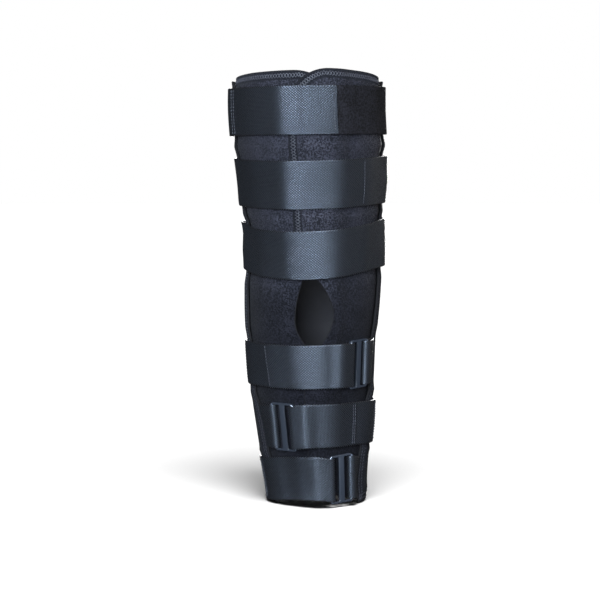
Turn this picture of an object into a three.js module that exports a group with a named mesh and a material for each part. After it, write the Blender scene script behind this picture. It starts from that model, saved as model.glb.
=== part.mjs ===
// Knee immobilizer: a padded splint that wraps a straight leg from mid thigh to mid calf.
// A back panel and two front flaps of foam laminate are drawn round the leg by six webbing straps.
// The right flap lies over the left one, and both are cut away round the kneecap.
// Millimetres. +Z runs up the leg, the kneecap faces -Y, and +X is to the right seen from the front.
// The origin is the centre of the leg's hollow at the height of the kneecap.

import * as THREE from "three";

// Driving dimensions
const BRACE_LENGTH = 450; // flap hem to flap hem, at the front
const KNEE_ABOVE_HEM = 199; // kneecap centre above the lower hem of the flaps
const THIGH_WIDTH = 142; // leg hollow at the top hem, side to side
const THIGH_DEPTH = 148; // leg hollow at the top hem, front to back
const FOAM = 5; // foam laminate wall
const LAYER_GAP = 0.95; // air between two pieces that lie on each other
const BACK_PANEL_WIDTH = 240; // at the top, along the cloth
const BACK_PANEL_TOP = -9; // top edge of the back panel, from the front hem's level
const BACK_PANEL_BOTTOM = -2; // its lower edge, from the flaps' lower hem
const FLAP_TUCK = 50; // how far a flap runs in under the back panel
const TUCK_CLEAR = 10; // the back panel stays lifted this far past the flap's rear edge
const TUCK_SETTLE = 35; // and settles on the leg over this further distance
const RIGHT_HEM_RISE = 2; // the right flap's top hem is this much above the left one's in front
const SIDE_HEM_DROP = 6; // the flaps' top hem is this much lower at the sides than in front
const THIGH_WEBBING = 50; // width of the three thigh straps
const CALF_WEBBING = 46; // width of the three calf straps
const WEBBING = 1.8; // webbing thickness
const STIFF_ANGLE = THREE.MathUtils.degToRad(5); // stiff webbing clears a step in the foam this early
const STIFF_HEIGHT = 8; // and bridges a hollow this tall
const LOOP_TAPE = 2.2; // thickness of the fuzzy tape that the top strap fastens to
const PRESSED_EDGE = 0.55; // share of the wall that is left at a sewn or stitched edge
const PRESSED_REACH = 12; // the wall is full again this far from such an edge
const SEWN_BEHIND = 45; // a strap is sewn down this far behind the back panel's front edge

// The leg's hollow, as shares: height of BRACE_LENGTH above the lower hem, width and side of THIGH_WIDTH,
// depth and back of THIGH_DEPTH. side and back move the section's centre to +X and +Y.
const LEG_SECTIONS = [
  { height: -0.02, width: 0.59, depth: 0.605, side: 0.052, back: 0.026 },
  { height: 0.04, width: 0.598, depth: 0.615, side: 0.037, back: 0.03 },
  { height: 0.12, width: 0.664, depth: 0.678, side: 0.018, back: 0.034 },
  { height: 0.171, width: 0.704, depth: 0.715, side: 0.012, back: 0.034 },
  { height: 0.264, width: 0.762, depth: 0.772, side: 0.0, back: 0.028 },
  { height: 0.384, width: 0.805, depth: 0.805, side: -0.005, back: 0.014 },
  { height: 0.493, width: 0.838, depth: 0.835, side: 0.004, back: 0.007 },
  { height: 0.585, width: 0.858, depth: 0.86, side: 0.012, back: 0.005 },
  { height: 0.68, width: 0.904, depth: 0.91, side: -0.001, back: 0.004 },
  { height: 0.74, width: 0.932, depth: 0.935, side: -0.002, back: 0.003 },
  { height: 0.833, width: 0.979, depth: 0.98, side: -0.018, back: 0.0 },
  { height: 0.92, width: 0.992, depth: 1.0, side: -0.035, back: 0.0 },
  { height: 1.02, width: 0.992, depth: 1.0, side: -0.032, back: 0.0 },
];

// Dents where a strap pulls the foam in beside it: angle and spread in degrees from the front to +X,
// height and tall as shares of BRACE_LENGTH, depth as a share of FOAM
const DENTS = [
  { angle: -93, spread: 45, height: 0.64, tall: 0.065, depth: 0.7 },
  { angle: 93, spread: 40, height: 0.79, tall: 0.05, depth: 0.4 },
];

// The back panel's outline: height as a share of BRACE_LENGTH, width as a share of BACK_PANEL_WIDTH
const BACK_PANEL_OUTLINE = [
  { height: -0.02, width: 0.92 },
  { height: 0.12, width: 0.995 },
  { height: 0.2, width: 1.03 },
  { height: 0.3, width: 0.97 },
  { height: 0.5, width: 0.96 },
  { height: 1.02, width: 1.0 },
];

// Free edges of the flaps, as distances from the middle of the front, and their cut-aways at the kneecap
const RIGHT_EDGE = { top: -28, bottom: -1 };
const LEFT_EDGE = { top: 18, bottom: 6 };
const RIGHT_KNEE_CUT = { depth: 32.5, centre: 2, up: 58, down: 57 };
const LEFT_KNEE_CUT = { depth: 29, centre: -5, up: 90, down: 46 };
const RIGHT_CORNERS = { topWidth: 44, topHeight: 46, bottomWidth: 62, bottomHeight: 47 };
const LEFT_CORNERS = { topWidth: 38, topHeight: 26, bottomWidth: 44, bottomHeight: 40 };
const OVERLAP_CLEAR = 5; // the right flap is fully lifted this far past the left flap's free edge
const OVERLAP_SETTLE = 23; // and settles on the leg over this further distance

// Buckle: a flat frame with two slots
const BUCKLE = { width: 29.5, thickness: 3, outerBar: 3.5, middleBar: 7, rail: 2.2, corner: 4 };
const TAB_LENGTH = 21.5; // longest tab, from the back panel's edge to the bar that it holds
const TAB_SHORT = 2; // a tab ends this far in front of the back panel's edge
const TURNED_BACK = 89.6; // longest strap end that comes back through its buckle
const SLOT_CLEARANCE = 0.5; // between a strap's edge and the end of its slot
const BAR_CLEARANCE = 0.75; // between a bar and the webbing round it
const BUCKLE_BEVEL = 0.9;
const FOLD_RUN = 8; // a turned-back strap lies flat over its buckle for this length before the bar
const FOLD_SETTLE = 14; // and comes down on the layer under it over this further length

// Straps. front, left, right and back are the lengths of brace left bare there between a strap and its hem,
// as shares of BRACE_LENGTH, not counting the straps between them, whose number is before.
// from is the side where the strap is sewn: it runs from there over the front.
// end is the angle of its free end, from the front to +X; without it the strap ends on the back panel.
// tab and turned are the lengths of its tab and of its turned-back end, as shares of the longest ones.
const STRAPS = [
  { name: "thigh_top", width: THIGH_WEBBING, hem: "top", before: 0,
    front: 0.0354, left: 0.0374, right: 0.0334, back: 0.0354, from: "left", end: 20.5 },
  { name: "thigh_middle", width: THIGH_WEBBING, hem: "top", before: 1,
    front: 0.0933, left: 0.0893, right: 0.0823, back: 0.0833, from: "left" },
  { name: "thigh_low", width: THIGH_WEBBING, hem: "top", before: 2,
    front: 0.1422, left: 0.1332, right: 0.1182, back: 0.1222, from: "right" },
  { name: "calf_top", width: CALF_WEBBING, hem: "lower", before: 2,
    front: 0.0674, left: 0.0664, right: 0.0734, back: 0.0704, from: "left", tab: 1, turned: 1 },
  { name: "calf_middle", width: CALF_WEBBING, hem: "lower", before: 1,
    front: 0.0317, left: 0.0227, right: 0.0287, back: 0.0247, from: "right", tab: 0.96, turned: 0.704 },
  { name: "calf_low", width: CALF_WEBBING, hem: "lower", before: 0,
    front: 0.0109, left: -0.0061, right: -0.0041, back: -0.0061, from: "left", tab: 0.6, turned: 0.56 },
];
const LOOP_TAPE_START = 5; // angle where the tape starts under the top strap
const LOOP_TAPE_CLIMB = { from: -9, to: 1 }; // angles between which the strap climbs onto the tape

// Where a strap stands off the brace: at angle, over spread to each side, by top and bottom at its two edges,
// and rises by lift, all three as shares of the strap's width
const STAND_OFFS = [
  { strap: "thigh_top", angle: -85, spread: 35, top: 0.03, bottom: 0.05, lift: 0 },
  { strap: "thigh_middle", angle: 93, spread: 30, top: 0.06, bottom: 0.01, lift: 0 },
  { strap: "thigh_low", angle: -95, spread: 36, top: 0.05, bottom: 0.01, lift: 0.07 },
  { strap: "thigh_low", angle: 90, spread: 32, top: 0.01, bottom: 0.05, lift: 0 },
  { strap: "calf_middle", angle: 88, spread: 32, top: 0.02, bottom: 0.03, lift: 0 },
];

// Mesh density
const FOAM_ROWS = 36;
const EXTRA_ROWS = { nearKnee: 1.6, nearHem: 2, nearDent: 1 }; // added to a row density of 1
const HEM_ZONE = 0.095; // share of the length at each hem that counts as near it
const FLAP_COLUMNS = 13;
const COLUMN_CROWDING = 1.25; // above 1, a flap's columns crowd towards its free edge
const BACK_COLUMNS = 20;
const WEBBING_ROWS = 2;
const STATION_STEP = THREE.MathUtils.degToRad(7);
const HULL_STEP = THREE.MathUtils.degToRad(3);
const FOLD_STEPS = 6;
const FOLD_SQUARENESS = 0.8; // 1 turns a strap round a bar in an ellipse, less in a squarer line

// Derived levels
const TOP_HEM = BRACE_LENGTH - KNEE_ABOVE_HEM;
const LOWER_HEM = -KNEE_ABOVE_HEM;
const OVERLAP_LIFT = FOAM + LAYER_GAP;
const { degToRad, lerp, clamp, smoothstep } = THREE.MathUtils;

// Catmull-Rom value of one column of a table at a height share
function shareAt(table, column, height) {
  const last = table.length - 2;
  let i = table.findIndex((s) => s.height > height) - 1;
  i = i < -1 || i > last ? last : Math.max(i, 0);
  const row = (k) => table[clamp(k, 0, table.length - 1)];
  const slope = (k) => (row(k + 1)[column] - row(k - 1)[column]) / (row(k + 1).height - row(k - 1).height);
  const step = row(i + 1).height - row(i).height;
  const t = (height - row(i).height) / step;
  const a = row(i)[column];
  const b = row(i + 1)[column];
  const [ma, mb] = [slope(i) * step, slope(i + 1) * step];
  return a + t * (ma + t * (3 * (b - a) - 2 * ma - mb + t * (2 * (a - b) + ma + mb)));
}

function legSection(z) {
  const height = (z - LOWER_HEM) / BRACE_LENGTH;
  return {
    halfWidth: (THIGH_WIDTH / 2) * shareAt(LEG_SECTIONS, "width", height),
    halfDepth: (THIGH_DEPTH / 2) * shareAt(LEG_SECTIONS, "depth", height),
    x: THIGH_WIDTH * shareAt(LEG_SECTIONS, "side", height),
    y: THIGH_DEPTH * shareAt(LEG_SECTIONS, "back", height),
  };
}

// 1 at the middle of a bump, falling to 0 at a distance of spread
function bump(distance, spread) {
  return Math.abs(distance) < spread ? Math.cos((distance / spread) * (Math.PI / 2)) ** 2 : 0;
}

function dentDepth(angle, z) {
  const height = (z - LOWER_HEM) / BRACE_LENGTH;
  const depths = DENTS.map((d) => {
    const round = bump(angle - degToRad(d.angle), degToRad(d.spread));
    return FOAM * d.depth * round * bump(height - d.height, d.tall);
  });
  return Math.max(...depths);
}

// A point at an angle from the front, offset out of the leg's hollow
function legPoint(angle, z, offset) {
  const s = legSection(z);
  const out = offset - dentDepth(Math.atan2(Math.sin(angle), Math.cos(angle)), z);
  return new THREE.Vector3(
    s.x + (s.halfWidth + out) * Math.sin(angle),
    s.y - (s.halfDepth + out) * Math.cos(angle),
    z,
  );
}

function meanRadius(z, offset) {
  const s = legSection(z);
  return (s.halfWidth + s.halfDepth) / 2 + offset;
}

// The angle at which a distance x to the right of the brace's middle lies, at height z
function angleAtX(x, z) {
  const s = legSection(z);
  return Math.asin(clamp((x - s.x) / (s.halfWidth + FOAM), -1, 1));
}

function backPanelWidth(z) {
  return BACK_PANEL_WIDTH * shareAt(BACK_PANEL_OUTLINE, "width", (z - LOWER_HEM) / BRACE_LENGTH);
}

// The angle of the back panel's front edge, without its sign
function backEdgeAngle(z) {
  return Math.PI - backPanelWidth(z) / 2 / meanRadius(z, FOAM + LAYER_GAP + FOAM / 2);
}

function straightEdge(edge, z) {
  return lerp(edge.bottom, edge.top, (z - LOWER_HEM) / BRACE_LENGTH);
}

// How far the rounded corners and the cut at the kneecap take a flap's free edge back, at height z
function edgeSetback(corners, cut, z) {
  const round = (width, height, into) =>
    into > 0 ? width * (1 - Math.sqrt(1 - Math.min(into / height, 1) ** 2)) : 0;
  const top = round(corners.topWidth, corners.topHeight, z - (TOP_HEM - corners.topHeight));
  const bottom = round(corners.bottomWidth, corners.bottomHeight, LOWER_HEM + corners.bottomHeight - z);
  const reach = z > cut.centre ? cut.up : cut.down;
  const share = Math.abs(z - cut.centre) / reach;
  const knee = share < 1 ? cut.depth * Math.cos((share * Math.PI) / 2) : 0;
  return top + bottom + knee;
}

// Lift of the right flap over the left one
function overlapLift(angle, z) {
  const pastEdge = (angle - angleAtX(straightEdge(LEFT_EDGE, z), z)) * meanRadius(z, FOAM);
  return OVERLAP_LIFT * (1 - smoothstep(pastEdge, OVERLAP_CLEAR, OVERLAP_CLEAR + OVERLAP_SETTLE));
}

// Thickness of a foam wall at a distance from its sewn or stitched edge
function wallAt(distance) {
  return FOAM * lerp(PRESSED_EDGE, 1, smoothstep(distance, 0, PRESSED_REACH));
}

function topHemAt(angle, side) {
  const frontness = Math.cos(clamp(angle, -Math.PI / 2, Math.PI / 2));
  const rise = side > 0 ? RIGHT_HEM_RISE * frontness : 0;
  return TOP_HEM - SIDE_HEM_DROP * (1 - frontness) + rise;
}

// Turns a mesh's faces outward and gives it normals
function finished(positions, indices) {
  const at = (i) => new THREE.Vector3().fromArray(positions, 3 * i);
  let volume = 0;
  for (let i = 0; i < indices.length; i += 3) {
    volume += at(indices[i]).dot(at(indices[i + 1]).cross(at(indices[i + 2])));
  }
  if (volume < 0) indices.reverse();
  const geometry = new THREE.BufferGeometry();
  geometry.setAttribute("position", new THREE.Float32BufferAttribute(positions, 3));
  geometry.setIndex(indices);
  geometry.computeVertexNormals();
  return geometry;
}

// A closed wall between two grids of points with the same rows and columns
function wallBetween(outer, inner) {
  const rows = outer.length;
  const columns = outer[0].length;
  const positions = [outer, inner].flat(2).flatMap((p) => p.toArray());
  const id = (side, row, column) => (side * rows + row) * columns + column;
  const indices = [];
  const quad = (a, b, c, d) => indices.push(a, b, c, a, c, d);
  for (let r = 0; r < rows - 1; r++) {
    for (let c = 0; c < columns - 1; c++) {
      quad(id(0, r, c), id(0, r, c + 1), id(0, r + 1, c + 1), id(0, r + 1, c));
      quad(id(1, r, c), id(1, r + 1, c), id(1, r + 1, c + 1), id(1, r, c + 1));
    }
  }
  for (let c = 0; c < columns - 1; c++) {
    quad(id(0, 0, c), id(1, 0, c), id(1, 0, c + 1), id(0, 0, c + 1));
    quad(id(0, rows - 1, c), id(0, rows - 1, c + 1), id(1, rows - 1, c + 1), id(1, rows - 1, c));
  }
  for (let r = 0; r < rows - 1; r++) {
    quad(id(0, r, 0), id(0, r + 1, 0), id(1, r + 1, 0), id(1, r, 0));
    quad(id(0, r, columns - 1), id(1, r, columns - 1), id(1, r + 1, columns - 1), id(0, r + 1, columns - 1));
  }
  return finished(positions, indices);
}

// Heights of a foam wall's rows: closer together at the rounded corners, the kneecap and the dents
function foamRowShares() {
  const density = (share) => {
    const z = LOWER_HEM + share * BRACE_LENGTH;
    const nearKnee = Math.abs(z) < RIGHT_KNEE_CUT.up ? EXTRA_ROWS.nearKnee : 0;
    const nearHem = Math.min(share, 1 - share) < HEM_ZONE ? EXTRA_ROWS.nearHem : 0;
    const nearDent = DENTS.some((d) => Math.abs(share - d.height) < d.tall) ? EXTRA_ROWS.nearDent : 0;
    return 1 + nearKnee + nearHem + nearDent;
  };
  const samples = 400;
  const sums = [0];
  for (let i = 0; i < samples; i++) sums.push(sums[i] + density((i + 0.5) / samples));
  return Array.from({ length: FOAM_ROWS + 1 }, (_, row) => {
    const wanted = (row / FOAM_ROWS) * sums[samples];
    const i = Math.min(sums.findIndex((s) => s >= wanted), samples);
    return i <= 0 ? 0 : (i - 1 + (wanted - sums[i - 1]) / (sums[i] - sums[i - 1])) / samples;
  });
}

// A front flap: side is 1 for the right flap, which lies on top, and -1 for the left one
function flapGeometry(side) {
  const [edge, corners, cut] =
    side > 0 ? [RIGHT_EDGE, RIGHT_CORNERS, RIGHT_KNEE_CUT] : [LEFT_EDGE, LEFT_CORNERS, LEFT_KNEE_CUT];
  const grid = (wall) =>
    foamRowShares().map((share) => {
      const level = LOWER_HEM + share * BRACE_LENGTH;
      const frontX = straightEdge(edge, level) + side * edgeSetback(corners, cut, level);
      const front = angleAtX(frontX, level);
      const rear = side * (backEdgeAngle(level) + FLAP_TUCK / meanRadius(level, FOAM));
      return Array.from({ length: FLAP_COLUMNS + 1 }, (_, column) => {
        const angle = lerp(front, rear, (column / FLAP_COLUMNS) ** COLUMN_CROWDING);
        const z = lerp(LOWER_HEM, topHemAt(angle, side), share);
        const lift = side > 0 ? overlapLift(angle, z) : 0;
        return legPoint(angle, z, lift + wall(side * (angle - front) * meanRadius(z, FOAM)));
      });
    });
  return wallBetween(grid(wallAt), grid(() => 0));
}

// The back panel lies over the flaps near its front edges and on the leg in the middle
function backLift(distance) {
  const clear = FLAP_TUCK + TUCK_CLEAR;
  return OVERLAP_LIFT * (1 - smoothstep(distance, clear, clear + TUCK_SETTLE));
}

function backPanelGeometry() {
  const top = TOP_HEM + BACK_PANEL_TOP;
  const bottom = LOWER_HEM + BACK_PANEL_BOTTOM;
  const grid = (wall) =>
    foamRowShares().map((share) => {
      const z = lerp(bottom, top, share);
      const edge = backEdgeAngle(z);
      return Array.from({ length: BACK_COLUMNS + 1 }, (_, column) => {
        const angle = lerp(edge, 2 * Math.PI - edge, column / BACK_COLUMNS);
        const fromEdge = (backPanelWidth(z) * Math.min(column, BACK_COLUMNS - column)) / BACK_COLUMNS;
        return legPoint(angle, z, backLift(fromEdge) + wall(fromEdge));
      });
    });
  return wallBetween(grid(wallAt), grid(() => 0));
}

// Offset of the outermost foam surface from the leg's hollow
function foamOffset(angle, z) {
  const ontoBack = (Math.abs(angle) - backEdgeAngle(z)) * meanRadius(z, FOAM + LAYER_GAP + FOAM / 2);
  if (ontoBack >= -1e-6) return OVERLAP_LIFT + wallAt(ontoBack);
  const onRightFlap = angle >= angleAtX(straightEdge(RIGHT_EDGE, z), z) - 1e-9;
  return FOAM + (onRightFlap ? overlapLift(angle, z) : 0);
}

// Convex outline round the foam at height z: the line that a taut strap takes
const outlines = new Map();
function tautOutline(z) {
  const key = z.toFixed(3);
  if (outlines.has(key)) return outlines.get(key);
  const edge = backEdgeAngle(z);
  const angles = [edge, -edge, angleAtX(straightEdge(RIGHT_EDGE, z), z)];
  for (let a = -Math.PI; a < Math.PI; a += HULL_STEP) angles.push(a);
  const points = angles.map((a) => legPoint(a, z, foamOffset(a, z)));
  points.sort((p, q) => p.x - q.x || p.y - q.y);
  const turn = (o, p, q) => (p.x - o.x) * (q.y - o.y) - (p.y - o.y) * (q.x - o.x);
  const chain = (list) => {
    const kept = [];
    for (const p of list) {
      while (kept.length > 1 && turn(kept[kept.length - 2], kept[kept.length - 1], p) <= 0) kept.pop();
      kept.push(p);
    }
    return kept.slice(0, -1);
  };
  const hull = [...chain(points), ...chain([...points].reverse())];
  outlines.set(key, hull);
  return hull;
}

// Offset of the taut outline from the leg's hollow
function tautOffset(angle, z) {
  const section = legSection(z);
  const ray = legPoint(angle, z, 0);
  ray.set(ray.x - section.x, ray.y - section.y, 0);
  const hull = tautOutline(z);
  let reach = 1;
  hull.forEach((p, i) => {
    const q = hull[(i + 1) % hull.length];
    const [px, py] = [p.x - section.x, p.y - section.y];
    const [ex, ey] = [q.x - p.x, q.y - p.y];
    const cross = ray.x * ey - ray.y * ex;
    const along = (px * ey - py * ex) / cross;
    const share = (px * ray.y - py * ray.x) / cross;
    if (along > 0 && share >= -1e-9 && share <= 1 + 1e-9) reach = along;
  });
  return (reach - 1) * ray.length();
}

// A point over the taut outline, lift away from it. The webbing's stiffness rounds the outline's corners.
function tautPoint(angle, z, lift) {
  let offset = 0;
  for (const turn of [-STIFF_ANGLE, 0, STIFF_ANGLE]) {
    for (const rise of [-STIFF_HEIGHT, 0, STIFF_HEIGHT]) {
      offset = Math.max(offset, tautOffset(angle + turn, z + rise));
    }
  }
  return legPoint(angle, z, offset + lift);
}

// Sum over a strap's stand-offs at an angle of what measure gives, in millimetres
function standOffSum(strap, angle, measure) {
  return STAND_OFFS.filter((s) => s.strap === strap.name)
    .map((s) => strap.width * measure(s) * bump(angle - degToRad(s.angle), degToRad(s.spread)))
    .reduce((sum, each) => sum + each, 0);
}

// Height of a strap's middle at an angle: it keeps its stated distance from its hem on all four sides
function strapHeight(strap, angle) {
  const { front, left, right, back } = strap;
  const bare =
    (front + back + left + right) / 4 +
    ((right - left) / 2) * Math.sin(angle) +
    ((front - back) / 2) * Math.cos(angle) +
    ((front + back - left - right) / 4) * Math.cos(2 * angle);
  const inward = BRACE_LENGTH * bare + (strap.before + 0.5) * strap.width;
  const z = strap.hem === "top" ? TOP_HEM - inward : LOWER_HEM + inward;
  return z + standOffSum(strap, angle, (s) => s.lift);
}

// How far a strap stands off at an angle, at a share of its width from its lower edge
function standOff(strap, angle, share) {
  return standOffSum(strap, angle, (s) => lerp(s.bottom, s.top, share));
}

// One station of a strap: points across its width, over the taut outline or over the flap
function strapStation(strap, angle, lift, follow = tautPoint) {
  return Array.from({ length: WEBBING_ROWS + 1 }, (_, row) => {
    const share = row / WEBBING_ROWS;
    const z = strapHeight(strap, angle) + (share - 0.5) * strap.width;
    return follow(angle, z, lift + standOff(strap, angle, share));
  });
}

// Stations from one angle to another, both ends included
function stationsBetween(strap, from, to, liftAt, follow) {
  const steps = Math.max(2, Math.ceil(Math.abs(to - from) / STATION_STEP));
  return Array.from({ length: steps + 1 }, (_, i) => {
    const angle = lerp(from, to, i / steps);
    return strapStation(strap, angle, liftAt(angle), follow);
  });
}

// A strip of webbing: stations are rows of points down its middle surface
function ribbonGeometry(stations, thickness) {
  const last = stations.length - 1;
  const side = (sign) =>
    stations.map((points, i) => {
      const [before, after] = [stations[Math.max(i - 1, 0)], stations[Math.min(i + 1, last)]];
      const across = points[points.length - 1].clone().sub(points[0]);
      return points.map((p, j) => {
        const along = after[j].clone().sub(before[j]);
        return p.clone().addScaledVector(along.cross(across).normalize(), (sign * thickness) / 2);
      });
    });
  return wallBetween(side(1), side(-1));
}

// Where a strap is sewn to the back panel, or reaches on it, on the side named by sign
function rearAngle(strap, sign) {
  const z = strapHeight(strap, (sign * Math.PI) / 2);
  return sign * (backEdgeAngle(z) + SEWN_BEHIND / meanRadius(z, OVERLAP_LIFT + FOAM));
}

const LOWER_LIFT = LAYER_GAP + WEBBING / 2;
const UPPER_LIFT = LOWER_LIFT + WEBBING + LAYER_GAP;
const BAR_OUT = (BUCKLE.width - BUCKLE.outerBar) / 2; // outer bar from the middle of its buckle

// Angle of a buckle: its tab reaches back from it to the back panel's edge
function buckleAngle(strap, run) {
  let angle = run * backEdgeAngle(LOWER_HEM);
  for (let pass = 0; pass < 3; pass++) {
    const z = strapHeight(strap, angle);
    const reach = (strap.tab * TAB_LENGTH + BAR_OUT) / meanRadius(z, FOAM);
    angle = run * (backEdgeAngle(z) - reach);
  }
  return angle;
}

// The frame of a strap's buckle: its centre, and its tangent, up and outward directions.
// run is 1 where the strap runs to +X towards the buckle, and -1 where it runs to -X.
function buckleFrame(strap) {
  const run = strap.from === "left" ? 1 : -1;
  const angle = buckleAngle(strap, run);
  const z = strapHeight(strap, angle);
  const half = strap.width / 2;
  const up = tautPoint(angle, z + half, 0).sub(tautPoint(angle, z - half, 0)).normalize();
  const nudge = BUCKLE.width / 2 / meanRadius(z, FOAM);
  const tangent = tautPoint(angle + nudge, z, 0).sub(tautPoint(angle - nudge, z, 0));
  tangent.addScaledVector(up, -tangent.dot(up)).normalize();
  const out = tangent.clone().cross(up).normalize();
  const barAngle = angle - (run * BAR_OUT) / meanRadius(z, FOAM + LAYER_GAP);
  const middle = tautPoint(angle, z, 0);
  const foldHeight = BUCKLE.thickness / 2 + BAR_CLEARANCE + WEBBING / 2;
  const rises = [-half, 0, half].map((side) =>
    tautPoint(barAngle, z + side, LOWER_LIFT).sub(middle).addScaledVector(up, -side).dot(out),
  );
  const rise = Math.max(...rises) + foldHeight;
  const centre = middle.addScaledVector(out, rise);
  return { z, run, up, tangent, out, barAngle, foldHeight, centre };
}

// A station beside one outer bar of a buckle: bar is -1 or 1 along run, outward is away from the middle bar
function barStation(strap, frame, bar, outward, above) {
  return Array.from({ length: WEBBING_ROWS + 1 }, (_, row) =>
    frame.centre
      .clone()
      .addScaledVector(frame.tangent, frame.run * bar * (BAR_OUT + outward))
      .addScaledVector(frame.out, above)
      .addScaledVector(frame.up, (row / WEBBING_ROWS - 0.5) * strap.width),
  );
}

// Stations that turn round one outer bar of a buckle, from under it to over it
function foldStations(strap, frame, bar) {
  const foldWidth = BUCKLE.outerBar / 2 + BAR_CLEARANCE + WEBBING / 2;
  return Array.from({ length: FOLD_STEPS + 1 }, (_, i) => {
    const turn = (i / FOLD_STEPS) * Math.PI;
    const squared = (value) => Math.sign(value) * Math.abs(value) ** FOLD_SQUARENESS;
    const inward = foldWidth * squared(Math.sin(turn));
    return barStation(strap, frame, bar, -inward, -frame.foldHeight * squared(Math.cos(turn)));
  });
}

// Lift of the top strap, which climbs onto the fuzzy tape near its free end
function topStrapLift(angle) {
  const climbed = smoothstep(angle, degToRad(LOOP_TAPE_CLIMB.from), degToRad(LOOP_TAPE_CLIMB.to));
  return LOWER_LIFT + climbed * (LOOP_TAPE + LAYER_GAP);
}

function plainStrapGeometry(strap) {
  const sign = strap.from === "left" ? -1 : 1;
  const start = rearAngle(strap, sign);
  const end = strap.end === undefined ? rearAngle(strap, -sign) : degToRad(strap.end);
  const liftAt = strap.end === undefined ? () => LOWER_LIFT : topStrapLift;
  return ribbonGeometry(stationsBetween(strap, start, end, liftAt), WEBBING);
}

function loopTapeGeometry(strap) {
  const stations = stationsBetween(
    strap, degToRad(LOOP_TAPE_START), rearAngle(strap, 1), () => LAYER_GAP + LOOP_TAPE / 2,
  );
  return ribbonGeometry(stations, LOOP_TAPE);
}

// A calf strap runs under its buckle's near bar, turns round it and comes back over itself
function foldedStrapGeometry(strap, frame) {
  const perMm = 1 / meanRadius(frame.z, FOAM + LAYER_GAP);
  const clear = frame.barAngle - frame.run * FOLD_RUN * perMm;
  const settled = clear - frame.run * FOLD_SETTLE * perMm;
  const end = frame.barAngle - frame.run * strap.turned * TURNED_BACK * perMm;
  const overBar = LOWER_LIFT + 2 * frame.foldHeight + LAYER_GAP / 2;
  const settling = (angle) =>
    lerp(UPPER_LIFT, overBar, smoothstep(frame.run * angle, frame.run * settled, frame.run * clear));
  const stations = [
    ...stationsBetween(strap, rearAngle(strap, -frame.run), clear, () => LOWER_LIFT),
    ...foldStations(strap, frame, -1),
    ...stationsBetween(strap, clear, settled, settling),
    ...stationsBetween(strap, settled, end, () => UPPER_LIFT).slice(1),
  ];
  return ribbonGeometry(stations, WEBBING);
}

// The station midway between two others, arched as the leg under them is
function archedBetween(first, second, frame) {
  return first.map((p, row) => {
    const rise = p.distanceTo(second[row]) ** 2 / 8 / meanRadius(frame.z, FOAM);
    return p.clone().lerp(second[row], 0.5).addScaledVector(frame.out, rise);
  });
}

// A short tab holds the buckle's far bar and ends at the back panel's front edge
function tabGeometry(strap, frame) {
  const rows = (lift) =>
    Array.from({ length: WEBBING_ROWS + 1 }, (_, row) => {
      const side = (row / WEBBING_ROWS - 0.5) * strap.width;
      const z = strapHeight(strap, frame.run * backEdgeAngle(frame.z)) + side;
      const angle = frame.run * (backEdgeAngle(z) - TAB_SHORT / meanRadius(z, FOAM));
      return legPoint(angle, z, foamOffset(angle, z) + lift);
    });
  const pastBar = BUCKLE.outerBar / 2;
  const [lowRoot, highRoot] = [rows(LOWER_LIFT), rows(UPPER_LIFT)];
  const lowBar = barStation(strap, frame, 1, pastBar, -frame.foldHeight);
  const highBar = barStation(strap, frame, 1, pastBar, frame.foldHeight);
  const stations = [
    lowRoot,
    archedBetween(lowRoot, lowBar, frame),
    lowBar,
    ...foldStations(strap, frame, 1),
    highBar,
    archedBetween(highBar, highRoot, frame),
    highRoot,
  ];
  return ribbonGeometry(stations, WEBBING);
}

function roundedRectangle(target, x, y, width, height, radius) {
  target.moveTo(x + radius, y);
  target.lineTo(x + width - radius, y);
  target.absarc(x + width - radius, y + radius, radius, -Math.PI / 2, 0);
  target.lineTo(x + width, y + height - radius);
  target.absarc(x + width - radius, y + height - radius, radius, 0, Math.PI / 2);
  target.lineTo(x + radius, y + height);
  target.absarc(x + radius, y + height - radius, radius, Math.PI / 2, Math.PI);
  target.lineTo(x, y + radius);
  target.absarc(x + radius, y + radius, radius, Math.PI, (3 * Math.PI) / 2);
  return target;
}

function buckleGeometry(strap) {
  const slotHeight = strap.width + 2 * SLOT_CLEARANCE;
  const slotWidth = (BUCKLE.width - 2 * BUCKLE.outerBar - BUCKLE.middleBar) / 2;
  const height = slotHeight + 2 * BUCKLE.rail;
  const inset = BUCKLE_BEVEL;
  const shape = roundedRectangle(
    new THREE.Shape(), inset - BUCKLE.width / 2, inset - height / 2,
    BUCKLE.width - 2 * inset, height - 2 * inset, BUCKLE.corner - inset,
  );
  for (const side of [-1, 1]) {
    const middle = side * (BUCKLE.middleBar + slotWidth) / 2;
    shape.holes.push(
      roundedRectangle(
        new THREE.Path(), middle - slotWidth / 2 - inset, -slotHeight / 2 - inset,
        slotWidth + 2 * inset, slotHeight + 2 * inset, 1 + inset,
      ),
    );
  }
  const geometry = new THREE.ExtrudeGeometry(shape, {
    depth: BUCKLE.thickness - 2 * inset,
    bevelThickness: inset,
    bevelSize: inset,
    bevelSegments: 1,
    curveSegments: 4,
  });
  return geometry.translate(0, 0, inset - BUCKLE.thickness / 2);
}

const FOAM_CLOTH = new THREE.MeshStandardMaterial({ color: 0x17181d, roughness: 0.95, metalness: 0 });
const WEBBING_CLOTH = new THREE.MeshStandardMaterial({ color: 0x1c1f26, roughness: 0.6, metalness: 0 });
const LOOP_CLOTH = new THREE.MeshStandardMaterial({ color: 0x121216, roughness: 1, metalness: 0 });
const BUCKLE_PLASTIC = new THREE.MeshStandardMaterial({ color: 0x0d0e10, roughness: 0.3, metalness: 0 });

const brace = new THREE.Group();

function addPiece(name, geometry, material) {
  const mesh = new THREE.Mesh(geometry, material);
  mesh.name = name;
  brace.add(mesh);
  return mesh;
}

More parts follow.
